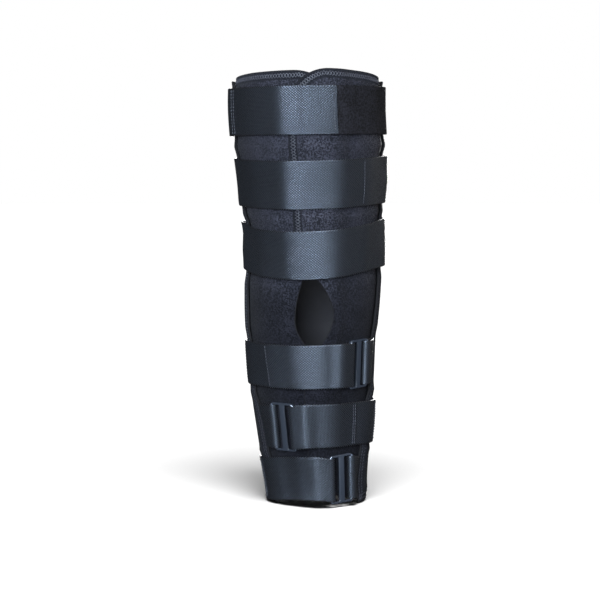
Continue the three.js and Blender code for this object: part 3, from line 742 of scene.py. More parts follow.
def distance_to_line(points, line):
    """Distance of each point from a closed line"""
    tree = point_tree(line)
    nearest = np.array([tree.find(p)[1] for p in points])
    best = np.full(len(points), np.inf)
    for start, end in ((nearest - 1, nearest), (nearest, (nearest + 1) % len(line))):
        a, b = line[start], line[end]
        along = b - a
        t = np.einsum("ij,ij->i", points - a, along) / np.maximum(np.einsum("ij,ij->i", along, along), NOUGHT)
        foot = a + np.clip(t, 0, 1)[:, None] * along
        best = np.minimum(best, np.linalg.norm(points - foot, axis=1))
    return best


def flap_layout(name):
    """Angles, heights, lifts and edge distances of a front flap's grid"""
    flap = FLAPS[name]
    side = flap["side"]
    levels = LOWER_HEM + spaced(BRACE_LENGTH)
    front = angle_at_x(straight_edge(flap, levels) + side * edge_setback(flap, levels), levels)
    rear = side * (back_edge_angle(levels) + FLAP_TUCK / mean_radius(levels, FOAM))
    radius = mean_radius(levels, FOAM)
    lengths = side * (rear - front) * radius
    places = places_between(lengths, math.ceil(lengths.mean() / FINE_STEP))
    angle = front[:, None] + side * places / radius[:, None]
    z = lerp(LOWER_HEM, top_hem_at(angle, side), height_share(levels)[:, None])
    lift = overlap_lift(angle, z) if side > 0 else np.zeros_like(z)
    return angle, z, lift, places


def back_layout():
    """Angles, heights, lifts and edge distances of the back panel's grid"""
    top = TOP_HEM + BACK_PANEL_TOP
    bottom = LOWER_HEM + BACK_PANEL_BOTTOM
    levels = bottom + spaced(top - bottom)
    edge = back_edge_angle(levels)
    widths = back_panel_width(levels)
    places = places_between(widths, math.ceil(widths.mean() / FINE_STEP))
    angle = lerp(edge[:, None], 2 * math.pi - edge[:, None], places / widths[:, None])
    z = np.broadcast_to(levels[:, None], angle.shape)
    lift = back_lift(np.minimum(places, widths[:, None] - places))
    return angle, z, lift, places


def foam_panel(name, layout, sizes, materials):
    angle, z, lift, places = layout
    middle = leg_point(angle, z, lift + FOAM / 2)
    distance = distance_to_line(middle.reshape(-1, 3), border(middle)).reshape(z.shape)
    wall = wall_at(distance)
    seam_end = sizes.seam_from + sizes.seam_width
    sewn = smoothstep(distance, sizes.seam_from - DIP_BEFORE, sizes.seam_from)
    sewn = sewn * (1 - smoothstep(distance, seam_end, seam_end + DIP_AFTER))
    half = wall / 2 * rounded_share(distance, EDGE_ROUND, FOAM_EDGE_SHARE)
    centre = lift + laminate_swell(angle, z, sizes) + wall / 2
    outer = leg_point(angle, z, centre + half - sizes.seam_sink * sewn)
    inner = leg_point(angle, z, centre - half)
    uv = np.stack([places, z], -1)
    piece = wall_mesh(name + "_laminate", outer, inner, uv, materials, distance)
    finish_piece(piece, name, slot="foam_cloth")
    SURFACES[name] = outer


# Webbing

def plain_strap(name):
    """Stations of a strap that is sewn down at one end or at both"""
    s = STRAPS[name]
    start = rear_angle(name, -s["run"])
    end = s["end"] * DEG if "end" in s else rear_angle(name, s["run"])

    def lift_at(angle):
        if "end" not in s:
            return LOWER_LIFT
        return LOWER_LIFT + smoothstep(angle, *LOOP_TAPE_CLIMB) * (LOOP_TAPE + LAYER_GAP)

    return stations_between(name, start, end, lift_at)


def buckle_angle(name):
    s = STRAPS[name]
    angle = s["run"] * back_edge_angle(LOWER_HEM)
    for _ in range(3):
        z = strap_height(name, angle)
        reach = (s["tab"] * TAB_LENGTH + BAR_OUT) / mean_radius(z, FOAM)
        angle = s["run"] * (back_edge_angle(z) - reach)
    return angle


def buckle_frame(name):
    """Where a calf strap's buckle sits, and its directions round the leg, up and outwards"""
    s = STRAPS[name]
    run = s["run"]
    angle = buckle_angle(name)
    z = strap_height(name, angle)
    half = s["width"] / 2
    up = unit(taut_point(angle, z + half, 0) - taut_point(angle, z - half, 0))
    nudge = BUCKLE_WIDTH / 2 / mean_radius(z, FOAM)
    tangent = taut_point(angle + nudge, z, 0) - taut_point(angle - nudge, z, 0)
    tangent = unit(tangent - np.dot(tangent, up) * up)
    out = unit(np.cross(tangent, up))
    bar_angle = angle - run * BAR_OUT / mean_radius(z, FOAM + LAYER_GAP)
    middle = taut_point(angle, z, 0)
    fold_height = BUCKLE_THICK / 2 + BAR_CLEARANCE + WEBBING / 2
    rises = [
        np.dot(taut_point(bar_angle, z + side, LOWER_LIFT) - middle - side * up, out)
        for side in (-half, 0, half)
    ]
    centre = middle + (max(rises) + fold_height) * out
    return {
        "name": name, "z": z, "run": run, "up": up, "tangent": tangent, "out": out,
        "bar_angle": bar_angle, "fold_height": fold_height, "centre": centre,
    }


def bar_station(frame_of, bar, outward, above):
    """A station beside an outer bar of a buckle; bar is -1 or 1 along the strap's run"""
    width = STRAPS[frame_of["name"]]["width"]
    across = (across_shares(width) - 0.5) * width
    along = frame_of["run"] * bar * (BAR_OUT + outward)
    start = frame_of["centre"] + along * frame_of["tangent"] + above * frame_of["out"]
    return start + across[:, None] * frame_of["up"]


def fold_stations(frame_of, bar):
    """Stations that turn round an outer bar, from under it to over it"""
    fold_width = OUTER_BAR / 2 + BAR_CLEARANCE + WEBBING / 2

    def squared(value):
        return math.copysign(abs(value) ** FOLD_SQUARENESS, value)

    stations = []
    for turn in np.linspace(0, math.pi, 9):
        inward = fold_width * squared(math.sin(turn))
        above = -frame_of["fold_height"] * squared(math.cos(turn))
        stations.append(bar_station(frame_of, bar, -inward, above))
    return stations


def folded_strap(name, frame_of):
    """Stations of a calf strap: under its buckle's near bar, round it and back over itself"""
    s = STRAPS[name]
    run = s["run"]
    bar_angle = frame_of["bar_angle"]
    per_metre = 1 / mean_radius(frame_of["z"], FOAM + LAYER_GAP)
    clear = bar_angle - run * FOLD_RUN * per_metre
    settled = clear - run * FOLD_SETTLE * per_metre
    end = bar_angle - run * s["turned"] * TURNED_BACK * per_metre
    over_bar = LOWER_LIFT + 2 * frame_of["fold_height"] + LAYER_GAP / 2

    def settling(angle):
        return lerp(UPPER_LIFT, over_bar, smoothstep(run * angle, run * settled, run * clear))

    lean = s["lean"] * per_metre
    return [
        *stations_between(name, rear_angle(name, -run), clear, lambda angle: LOWER_LIFT),
        *fold_stations(frame_of, -1),
        *stations_between(name, clear, settled, settling),
        *stations_between(name, settled, end, lambda angle: UPPER_LIFT, lean)[1:],
    ]


def arched_between(first, second, frame_of):
    rise = np.linalg.norm(second - first, axis=1) ** 2 / 8 / mean_radius(frame_of["z"], FOAM)
    return (first + second) / 2 + rise[:, None] * frame_of["out"]


def buckle_tab(name, frame_of):
    """Stations of the short tab that holds a buckle's far bar"""
    s = STRAPS[name]
    run = s["run"]
    side = (across_shares(s["width"]) - 0.5) * s["width"]
    z = strap_height(name, run * back_edge_angle(frame_of["z"])) + side
    angle = run * (back_edge_angle(z) - TAB_SHORT / mean_radius(z, FOAM))
    low_root = leg_point(angle, z, foam_offset(angle, z) + LOWER_LIFT)
    high_root = leg_point(angle, z, foam_offset(angle, z) + UPPER_LIFT)
    past_bar = OUTER_BAR / 2
    low_bar = bar_station(frame_of, 1, past_bar, -frame_of["fold_height"])
    high_bar = bar_station(frame_of, 1, past_bar, frame_of["fold_height"])
    return [
        low_root, arched_between(low_root, low_bar, frame_of), low_bar,
        *fold_stations(frame_of, 1)[1:-1],
        high_bar, arched_between(high_bar, high_root, frame_of), high_root,
    ]


# Thread

def thread_mesh(name, runs, radius, material, sides):
    """Thread along runs of points beside the cloth's normals, closed at both ends"""
    points, faces = [], []
    turn = np.arange(sides) * 2 * math.pi / sides
    base = 0
    for line, normals in runs:
        along = unit(np.gradient(line, axis=0))
        across = unit(np.cross(along, normals))
        out = np.cross(across, along)
        girth = np.full(len(line), radius)
        girth[[0, -1]] = radius * THREAD_END
        ring = np.cos(turn)[None, :, None] * across[:, None] + np.sin(turn)[None, :, None] * out[:, None]
        points.append((line[:, None] + girth[:, None, None] * ring).reshape(-1, 3))
        ids = base + np.arange(len(line) * sides).reshape(-1, sides)
        beside = np.roll(ids, -1, axis=1)
        quads = np.stack([ids[:-1], ids[1:], beside[1:], beside[:-1]], -1).reshape(-1, 4)
        faces.extend(quads.tolist())
        faces.append(ids[0].tolist())
        faces.append(ids[-1, ::-1].tolist())
        base += len(line) * sides
    piece = smooth_piece(name, np.concatenate(points), faces, [material])
    builder = bmesh.new()
    builder.from_mesh(piece.data)
    bmesh.ops.recalc_face_normals(builder, faces=builder.faces)
    builder.to_mesh(piece.data)
    builder.free()
    return piece


def sew(name, runs, sizes, colours, sides):
    """Thread on the brace, as one piece"""
    piece = thread_mesh(name, runs, sizes.thread, finish_of(thread_finish, colours), sides)
    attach(piece, "root")


def along_line(line, step):
    """A closed or open line of points set out again at an even step"""
    lengths = lengths_along(line)
    places = np.linspace(0, lengths[-1], max(2, round(lengths[-1] / step)) + 1)
    return np.stack([np.interp(places, lengths, line[:, i]) for i in range(3)], -1), places


def edge_seam(name, sizes):
    """Runs of crossing zigzag thread inside the edge of a foam panel. The flaps' thread lies on their cloth
    and stops over the knee; the back panel's is pulled into its cloth"""
    outer = SURFACES[name]
    skin = outer.reshape(-1, 3)
    surface = BVHTree.FromPolygons(skin.tolist(), grid_quads(*outer.shape[:2]).tolist())
    edge = border(outer)
    line, places = along_line(np.concatenate([edge, edge[:1]]), sizes.stitch_pitch / 8)
    skin_normals = grid_normals(outer).reshape(-1, 3)
    into_cloth = 1 if (skin_normals * skin * [1, 1, 0]).sum() > 0 else -1
    middle = skin.mean(axis=0) * [1, 1, 0]
    tree = point_tree(skin)
    near = np.array([[found[1] for found in tree.find_n(p, NEAR_POINTS)] for p in line])
    edge_normals = unit(skin_normals[near].mean(axis=1))
    inward = np.cross(edge_normals, unit(np.gradient(line, axis=0)))
    towards = np.einsum("ij,ij->i", inward, skin[near].mean(axis=1) - line)
    inward *= np.sign(np.median(towards))
    cycles = round(places[-1] / sizes.stitch_pitch)
    phase = places / places[-1] * cycles
    sewn = (line[:, 2] > sizes.seam_stop) | (name == "back_panel")
    stretches = np.split(np.arange(len(line)), np.flatnonzero(np.diff(sewn)) + 1)
    runs = []
    for shift in (0.0, 0.5):
        swing = 1 - 4 * np.abs((phase + shift) % 1 - 0.5)
        depth = sizes.seam_from + sizes.seam_width * (swing + 1) / 2
        height = sizes.thread * (0.9 - 1.5 * np.abs(swing) ** 5)
        points, beside = [], []
        for spot in line + inward * depth[:, None]:
            point, normal, _, _ = surface.find_nearest(Vector(spot))
            point = np.array(point)
            normal = into_cloth * np.array(normal)
            if name != "back_panel" and np.dot(normal, point - middle) < 0:
                normal = -normal
            points.append(point)
            beside.append(normal)
        beside = np.array(beside)
        points = np.array(points) + beside * height[:, None]
        runs.extend((points[s], beside[s]) for s in stretches if sewn[s[0]] and len(s) > 8)
    return runs


def on_ribbon(grid, along, across):
    """Points and normals on a ribbon's outer face at lengths and widths along and across it"""
    row = np.interp(along, grid["lengths"], np.arange(len(grid["lengths"])))
    column = np.interp(across, grid["widths"], np.arange(len(grid["widths"])))
    return grid_value(grid["outer"], row, column), unit(grid_value(grid["normals"], row, column))


def stitch_row(grid, start, end, sizes):
    """Single stitches along a straight line on a ribbon; start and end are lengths along and across it"""
    start, end = np.array(start), np.array(end)
    reach = float(np.linalg.norm(end - start))
    count = max(1, round(reach / sizes.stitch_length))
    runs = []
    for i in range(count):
        shares = (i + np.linspace(0.08, 0.86, 6)) / count
        places = start + shares[:, None] * (end - start)
        points, normals = on_ribbon(grid, places[:, 0], places[:, 1])
        rise = sizes.thread * (0.55 - 1.3 * np.abs(np.linspace(-1, 1, 6)) ** 3)
        runs.append((points + normals * rise[:, None], normals))
    return runs


def stitch_box(grid, start, end, sizes):
    """A box of stitches with a cross in it, as where a strap is sewn down"""
    (a, b), (c, d) = start, end
    corners = [(a, b), (c, b), (c, d), (a, d)]
    lines = [(0, 1), (1, 2), (2, 3), (3, 0), (0, 2), (3, 1)]
    return [run for i, j in lines for run in stitch_row(grid, corners[i], corners[j], sizes)]


def length_at_angle(grid, angle):
    """Length along a ribbon where its middle line passes an angle from the front"""
    line = grid["outer"][:, grid["outer"].shape[1] // 2]
    _, _, x, y = leg_section(line[:, 2])
    angles = np.arctan2(line[:, 0] - x, y - line[:, 1])
    return float(grid["lengths"][np.argmin(np.abs(angles - angle))])


def strap_stitching(name, grid, sizes):
    """Boxes where a strap is sewn to the back panel, and rows that show in front"""
    width = float(grid["widths"][-1])
    length = float(grid["lengths"][-1])

    def box(start, end):
        return stitch_box(grid, (start, BOX_INSET), (end, width - BOX_INSET), sizes)

    def row(at, inset=ROW_INSET, ribbon=grid):
        return stitch_row(ribbon, (at, inset), (at, width - inset), sizes)

    runs = box(BOX_FROM, BOX_TO)
    if name == "thigh_top":
        runs += row(length - BOX_INSET, BOX_INSET)
        for angle in TOP_STRAP_ROWS:
            runs += row(length_at_angle(grid, angle))
    elif name in ("thigh_middle", "thigh_low"):
        runs += box(length - BOX_TO, length - BOX_FROM)
    else:
        turned_back = {**grid, "outer": grid["inner"], "normals": -grid["normals"]}
        for inset in STRAPS[name]["end_rows"]:
            runs += row(length - inset, ribbon=turned_back)
    if name == "thigh_middle":
        runs += row(length_at_angle(grid, MIDDLE_STRAP_ROW), MIDDLE_ROW_INSET)
    return runs


# Buckles

def select_where(mesh, kind, test):
    """In edit mode, selects only the faces (by middle and normal) or the edges (by ends) that pass a test"""
    bpy.ops.mesh.select_mode(type=kind)
    bpy.ops.mesh.select_all(action="DESELECT")
    builder = bmesh.from_edit_mesh(mesh)
    for face in builder.faces if kind == "FACE" else ():
        face.select_set(bool(test(face.calc_center_median(), face.normal)))
    for edge in builder.edges if kind == "EDGE" else ():
        edge.select_set(bool(test(edge.verts[0].co, edge.verts[1].co)))
    bmesh.update_edit_mesh(mesh)


def model_buckle(sizes):
    """A moulded three-bar slide, lying flat, its bars along Y"""
    slot_height = CALF_WEBBING + 2 * SLOT_CLEARANCE
    height = slot_height + 2 * BUCKLE_RAIL
    slot_width = (BUCKLE_WIDTH - 2 * OUTER_BAR - MIDDLE_BAR) / 2
    half_thick = BUCKLE_THICK / 2
    bpy.ops.object.select_all(action="DESELECT")
    bpy.ops.mesh.primitive_cube_add(size=1)
    buckle = bpy.context.active_object
    buckle.name = "buckle_pattern"
    buckle.dimensions = (BUCKLE_WIDTH, height, BUCKLE_THICK)
    bpy.ops.object.transform_apply(location=False, rotation=False, scale=True)
    mesh = buckle.data
    bpy.ops.object.mode_set(mode="EDIT")
    select_where(mesh, "EDGE", lambda a, b: abs(a.z - b.z) > half_thick)
    bpy.ops.mesh.bevel(offset=BUCKLE_CORNER, segments=6, affect="EDGES")
    slot_sides = (MIDDLE_BAR / 2, MIDDLE_BAR / 2 + slot_width)
    cuts = [((side * x, 0, 0), (1, 0, 0)) for x in slot_sides for side in (-1, 1)]
    cuts += [((0, side * slot_height / 2, 0), (0, 1, 0)) for side in (-1, 1)]
    for spot, normal in cuts:
        bpy.ops.mesh.select_all(action="SELECT")
        bpy.ops.mesh.bisect(plane_co=spot, plane_no=normal)

    def flat_face(p, n, middle, width):
        return abs(n.z) > 0.9 and abs(p.x - middle) < width / 2 and abs(p.y) < slot_height / 2

    for side in (-1, 1):
        middle = side * (MIDDLE_BAR + slot_width) / 2
        select_where(mesh, "FACE", lambda p, n: flat_face(p, n, middle, slot_width))
        bpy.ops.mesh.bridge_edge_loops()

    def slot_corner(a, b):
        upright = abs(a.z - b.z) > half_thick and abs(abs(a.y) - slot_height / 2) < 1e-5
        return upright and min(abs(abs(a.x) - x) for x in slot_sides) < 1e-5

    select_where(mesh, "EDGE", slot_corner)
    bpy.ops.mesh.bevel(offset=SLOT_CORNER, segments=3, affect="EDGES")
    for side in (-1, 1):
        select_where(mesh, "FACE", lambda p, n: n.z * side > 0 and flat_face(p, n, 0, MIDDLE_BAR))
        bpy.ops.mesh.inset(thickness=BAR_INSET, depth=0)
        bpy.ops.transform.translate(value=(0, 0, side * sizes.bar_crown))
    bpy.ops.object.mode_set(mode="OBJECT")
    soften = buckle.modifiers.new("moulded edges", "BEVEL")
    soften.width = MOULDED_EDGE
    soften.segments = 3
    soften.limit_method = "ANGLE"
    soften.angle_limit = SOFT_ANGLE
    bpy.ops.object.modifier_apply(modifier=soften.name)
    bpy.ops.object.shade_smooth_by_angle(angle=SOFT_ANGLE)
    return buckle


def place_buckle(pattern, name, frame_of, material):
    piece = add_object(name + "_slide", pattern.data.copy())
    place = np.eye(4)
    place[:3, :3] = np.stack([frame_of["tangent"], frame_of["up"], frame_of["out"]], axis=1)
    place[:3, 3] = frame_of["centre"]
    piece.data.transform(Matrix(place.tolist()))
    piece.data.materials.clear()
    piece.data.materials.append(material)
    finish_piece(piece, name + "_buckle", slot="buckle_plastic")


# Finishes

SOCKETS = {
    "roughness": "Roughness", "specular": "Specular IOR Level", "tint": "Specular Tint",
    "sheen": "Sheen Weight", "sheen_roughness": "Sheen Roughness",
}


def lighter(colour, factor):
    return tuple(min(c * factor, 1) for c in colour[:3]) + (1,)


class Finish:
    """A material and short ways to join its nodes"""

    def __init__(self, name):
        self.material = bpy.data.materials.new(name)
        self.material.use_nodes = True
        self.nodes = self.material.node_tree.nodes
        self.links = self.material.node_tree.links
        self.shader = self.nodes["Principled BSDF"]
        self.where = self.add("ShaderNodeTexCoord").outputs["Object"]

    def join(self, value, socket):
        """Links a socket to another, or sets it to a value"""
        if isinstance(value, bpy.types.NodeSocket):
            self.links.new(value, socket)
        else:
            socket.default_value = value

    def add(self, kind, inputs=None, **settings):
        node = self.nodes.new(kind)
        for key, value in settings.items():
            setattr(node, key, value)
        for key, value in (inputs or {}).items():
            self.join(value, node.inputs[key])
        return node

    def math(self, operation, *values):
        return self.add("ShaderNodeMath", dict(enumerate(values)), operation=operation).outputs[0]

    def plus(self, first, second, times):
        """first with times of second added"""
        return self.math("ADD", first, self.math("MULTIPLY", second, times))

    def noise(self, scale, detail=2.0, roughness=0.5):
        inputs = {"Vector": self.where, "Scale": scale, "Detail": detail, "Roughness": roughness}
        return self.add("ShaderNodeTexNoise", inputs).outputs["Fac"]

    def span(self, value, low, high, to_low=0.0, to_high=1.0):
        inputs = {"Value": value, "From Min": low, "From Max": high, "To Min": to_low, "To Max": to_high}
        return self.add("ShaderNodeMapRange", inputs).outputs["Result"]

    def parts(self, vector):
        return self.add("ShaderNodeSeparateXYZ", {0: vector}).outputs

    def on_cloth(self):
        """Lengths along and across a sheet, from its UV map"""
        return self.parts(self.add("ShaderNodeUVMap", uv_map="cloth").outputs[0])

    def from_edge(self):
        return self.add("ShaderNodeAttribute", attribute_name="edge_distance").outputs["Fac"]

    def surface(self, tone, relief=None, **values):
        """Feeds the shader. tone: a factor, a colour and its darkest and lightest multiples;
        relief: a height and how far it stands out"""
        factor, colour, dark, light = tone
        inputs = {0: factor, 6: lighter(colour, dark), 7: lighter(colour, light)}
        blended = self.add("ShaderNodeMix", inputs, data_type="RGBA")
        self.join(blended.outputs[2], self.shader.inputs["Base Color"])
        for name, value in values.items():
            self.join(value, self.shader.inputs[SOCKETS[name]])
        if relief:
            painted_light_falloff = self.add("ShaderNodeBump", dict(zip(("Height", "Distance"), relief)))
            self.join(painted_light_falloff.outputs["Normal"], self.shader.inputs["Normal"])
        return self.material


def webbing_finish(colours, sizes):
    """Woven nylon webbing: crossing yarns along and across the strap, and a painted highlight along its edges
    """
    f = Finish("woven webbing")
    cloth = f.on_cloth()
    along = f.math("MULTIPLY", cloth["X"], math.pi / sizes.yarn)
    across = f.math("MULTIPLY", cloth["Y"], math.pi / (sizes.yarn * 0.85))
    checks = f.math("MULTIPLY", f.math("SINE", along), f.math("SINE", across))
    ribs = f.math("SINE", f.math("MULTIPLY", along, 2.0))
    weave = f.plus(f.math("MULTIPLY", checks, 1.1), ribs, 0.2)
    height = f.plus(weave, f.noise(900.0, 3.0, 0.6), 1.6)
    shade = f.span(f.plus(height, f.noise(55.0, 3.0), 0.6), 0.8, 1.5)
    # painted highlight: a thin lighter, glossier line along both edges of the webbing, where the edge would
    # catch the light
    painted_edge_highlight = f.span(f.from_edge(), 0.9 * MM, 1.9 * MM, 0.6, 0.0)
    shade = f.add("ShaderNodeClamp", {"Value": f.math("ADD", shade, painted_edge_highlight)}).outputs[0]
    return f.surface(
        (shade, colours.webbing, 0.1, 1.6), (height, 0.16 * MM),
        roughness=f.span(shade, 0.0, 1.0, 0.66, 0.25), specular=0.5, tint=(0.66, 0.79, 1.0, 1),
    )


def foam_cloth_finish(colours, sizes):
    """Brushed loop cloth on foam, with a fuzzy speckle; painted shade darkens it below the thigh and in its
    seam bands
    """
    f = Finish("brushed foam cloth")
    tufts = f.noise(620.0, 1.0, 0.6)
    patches = f.noise(45.0, 3.0)
    height = f.plus(f.math("MULTIPLY", tufts, 1.6), f.noise(1500.0), 0.7)
    seam_end = sizes.seam_from + sizes.seam_width
    height_over_knee = f.parts(f.where)["Z"]
    # painted shade: the cloth in the seam band along the edges, where the thread pulls it down, is darkened
    # above the height where the flaps' seams stop
    unsewn = f.span(height_over_knee, sizes.seam_stop - 5 * MM, sizes.seam_stop, 1.0, 0.12)
    painted_seam_shade = f.math("MAXIMUM", f.span(f.from_edge(), seam_end, seam_end + 1.5 * MM), unsewn)
    # painted shade: the cloth is darker, and its gloss lower, from the thigh down over the knee, standing in
    # for light that falls off downwards
    painted_light_falloff = f.span(f.plus(height_over_knee, patches, 0.03), 0.02, 0.07, 0.4, 1.0)
    shade = f.math("MULTIPLY", f.span(f.plus(height, patches, 0.5), 1.25, 1.6), painted_light_falloff)
    shade = f.math("MULTIPLY", shade, painted_seam_shade)
    return f.surface(
        (shade, colours.foam_cloth, 0.1, 3.0), (height, 0.8 * MM),
        roughness=f.span(shade, 0.0, 1.0, 0.95, 0.42), specular=f.span(painted_light_falloff, 0.4, 1.0, 0.12, 0.25),
        tint=(0.72, 0.78, 1.0, 1), sheen=0.01, sheen_roughness=0.5,
    )


def lining_finish(colours):
    """Smooth knitted lining on the inside, in fine wales"""
    f = Finish("knitted lining")
    cloth = f.on_cloth()
    wales = f.math("SINE", f.math("MULTIPLY", cloth["X"], 2 * math.pi / (1.1 * MM)))
    courses = f.math("SINE", f.math("MULTIPLY", cloth["Y"], 2 * math.pi / (0.9 * MM)))
    knit = f.math("MULTIPLY", wales, courses)
    patches = f.noise(70.0, 3.0)
    shade = f.span(f.plus(knit, patches, 2.0), 0.0, 2.0)
    return f.surface(
        (shade, colours.lining, 0.7, 1.4), (knit, 0.12 * MM),
        roughness=f.span(patches, 0.3, 0.7, 0.7, 0.85), specular=0.25,
    )


def loop_pile_finish(colours):
    """Dense curled loops that the top strap's hooks hold"""
    f = Finish("loop pile")
    cells = f.add("ShaderNodeTexVoronoi", {"Vector": f.where, "Scale": 520.0}).outputs["Distance"]
    height = f.plus(f.noise(700.0, 2.0, 0.6), cells, 0.8)
    shade = f.span(f.plus(height, f.noise(80.0, 3.0), 0.4), 0.85, 1.25)
    return f.surface(
        (shade, colours.loop_pile, 0.1, 3.4), (height, 0.7 * MM),
        roughness=f.span(shade, 0.0, 1.0, 0.95, 0.7), specular=0.08, sheen=0.002, sheen_roughness=0.55,
    )


def thread_finish(colours):
    """Twisted polyester sewing thread"""
    f = Finish("sewing thread")
    twist = f.noise(2600.0)
    return f.surface(
        (f.noise(120.0), colours.thread, 0.6, 1.4), (twist, 0.12 * MM),
        roughness=f.span(twist, 0.3, 0.7, 0.42, 0.6), specular=0.5, tint=(0.8, 0.88, 1.0, 1),
    )


def cut_foam_finish(colours):
    """Cut edge of the laminate: open cells between its two cloths"""
    f = Finish("cut foam edge")
    cells = f.noise(2200.0, 3.0, 0.7)
    return f.surface(
        (cells, colours.cut_foam, 0.5, 1.5), (cells, 0.4 * MM),
        roughness=f.span(cells, 0.3, 0.7, 0.8, 0.95), specular=0.1,
    )


def buckle_finish(colours):
    """Black moulded plastic with a faint ripple and a painted highlight on its sharp edges"""
    f = Finish("moulded buckle plastic")
    scuffs = f.noise(900.0, 4.0, 0.7)
    # painted highlight: the plastic is lighter on its sharp moulded edges, where they would catch the light
    painted_rim_highlight = f.span(f.add("ShaderNodeNewGeometry").outputs["Pointiness"], 0.57, 0.68)
    return f.surface(
        (painted_rim_highlight, colours.buckle, 0.8, 4.0), (f.plus(f.noise(160.0), scuffs, 0.2), 0.12 * MM),
        roughness=f.span(f.math("ADD", scuffs, painted_rim_highlight), 0.35, 1.3, 0.16, 0.32), specular=0.5,
    )


def floor_finish():
    """Matt studio floor"""
    f = Finish("studio floor")
    mottle = f.noise(6.0)
    roughness = f.span(mottle, 0.3, 0.7, 0.8, 0.9)
    return f.surface((mottle, (1, 1, 1), 0.9, 0.94), roughness=roughness, specular=0.1)


# What one operator leaves for the next
SURFACES = {}
FINISHES = {}


def finish_of(make, *values):
    """A material, made once"""
    if make not in FINISHES:
        FINISHES[make] = make(*values)
    return FINISHES[make]


# Settings

def number_setting(name, description, default, **kind):
    return bpy.props.FloatProperty(name=name, description=description, default=default, **kind)


def length_setting(name, description, default):
    kind = {"min": 0.0, "subtype": "DISTANCE", "unit": "LENGTH", "precision": 5}
    return number_setting(name, description, default, **kind)


def colour_setting(name, description, *default):
    return bpy.props.FloatVectorProperty(
        name=name, description=description, default=(*default, 1), size=4, min=0.0, max=1.0, subtype="COLOR",
    )


class BraceSizes(bpy.types.PropertyGroup):
    under_strap: length_setting("Under straps", "How far the laminate stands out under the straps", 0.4 * MM)
    swell: length_setting("Swell", "How far the laminate swells between the straps", 1.7 * MM)
    wave: length_setting("Waves", "Height of the laminate's slow waves", 0.4 * MM)
    seam_sink: length_setting("Seam sink", "How deep the edge seams pull into the cloth", 0.45 * MM)
    seam_from: length_setting("Seam from edge", "Bare cloth between an edge and its seam", 3.2 * MM)
    seam_width: length_setting("Seam width", "Width of the crossing zigzag seam", 6.0 * MM)
    seam_stop: length_setting("Seam stop", "Height over the knee where the flaps' seams stop", 40 * MM)
    stitch_pitch: length_setting("Zigzag pitch", "Length of one zigzag of an edge seam", 6.4 * MM)
    thread: length_setting("Thread", "Radius of the sewing thread", 0.4 * MM)
    stitch_length: length_setting("Stitch", "Length of a straight stitch with its gap", 3.2 * MM)
    ripple: length_setting("Ripple", "Height of the ripples in the webbing", 0.14 * MM)
    yarn: length_setting("Yarn", "Width of one yarn of the webbing", 1.5 * MM)
    bar_crown: length_setting("Bar crown", "How far a buckle's middle bar stands up", 0.35 * MM)


class BraceColours(bpy.types.PropertyGroup):
    webbing: colour_setting("Webbing", "Colour of the straps and tabs", 0.0034, 0.0034, 0.004)
    foam_cloth: colour_setting("Foam cloth", "Colour of the outer cloth", 0.0034, 0.0034, 0.005)
    lining: colour_setting("Lining", "Colour of the inner cloth", 0.006, 0.006, 0.008)
    loop_pile: colour_setting("Loop pile", "Colour of the fuzzy tape", 0.0018, 0.0018, 0.0025)
    thread: colour_setting("Thread", "Colour of the sewing thread", 0.015, 0.015, 0.02)
    cut_foam: colour_setting("Cut foam", "Colour of the laminate's cut edge", 0.004, 0.004, 0.0048)
    buckle: colour_setting("Buckles", "Colour of the buckles' plastic", 0.004, 0.0046, 0.006)


class BraceStage(bpy.types.PropertyGroup):
    camera_distance: length_setting("Camera distance", "From the camera to the brace's upright axis", 2.2)
    camera_height: length_setting("Camera height", "Height of the camera over the kneecap", 0.1697)
    camera_side: length_setting("Camera to the left", "How far left of the brace the camera stands", 0.0127)
    camera_tilt: number_setting("Camera tilt", "How far the camera looks down", 4.125 * DEG, subtype="ANGLE")
    view_angle: number_setting(
        "View angle", "The camera's angle of view", 2 * math.atan(PICTURE_HALF / PICTURE_DISTANCE),
        subtype="ANGLE",
    )
    front_power: number_setting("Front light", "Power of the light in front", 245, min=0, subtype="POWER")
    room_light: number_setting("Room light", "Strength of the even light all round", 0.045, min=0)
    top_light: number_setting("Top light", "Strength of the soft light from above", 4.55, min=0)


# Operators

class PieceOperator:
    """Makes its pieces from the settings, in object mode"""
    bl_options = {"REGISTER", "UNDO"}

    def execute(self, context):
        scene = context.scene
        if context.object and context.object.mode != "OBJECT":
            raise RuntimeError("Leave edit mode first")
        self.make(scene.brace_sizes, scene.brace_colours)
        return {"FINISHED"}


class BRACE_OT_foam_panels(PieceOperator, bpy.types.Operator):
    """Add the back panel and the two front flaps of foam laminate"""
    bl_idname = "brace.foam_panels"
    bl_label = "Foam Panels"

    def make(self, sizes, colours):
        materials = [
            finish_of(foam_cloth_finish, colours, sizes),
            finish_of(lining_finish, colours),
            finish_of(cut_foam_finish, colours),
        ]
        foam_panel("back_panel", back_layout(), sizes, materials)
        for name in FLAPS:
            foam_panel(name, flap_layout(name), sizes, materials)


class BRACE_OT_edge_seams(PieceOperator, bpy.types.Operator):
    """Sew the crossing zigzag seam round the edges of the foam panels"""
    bl_idname = "brace.edge_seams"
    bl_label = "Edge Seams"

    def make(self, sizes, colours):
        for name in ("back_panel", "left_flap", "right_flap"):
            sew(name + "_seam", edge_seam(name, sizes), sizes, colours, 6)


class BRACE_OT_thigh_straps(PieceOperator, bpy.types.Operator):
    """Add the three thigh straps"""
    bl_idname = "brace.thigh_straps"
    bl_label = "Thigh Straps"

    def make(self, sizes, colours):
        for seed, strap in enumerate(THIGH_STRAPS):
            webbing_strip(strap["name"] + "_strap", plain_strap(strap["name"]), sizes, colours, seed)


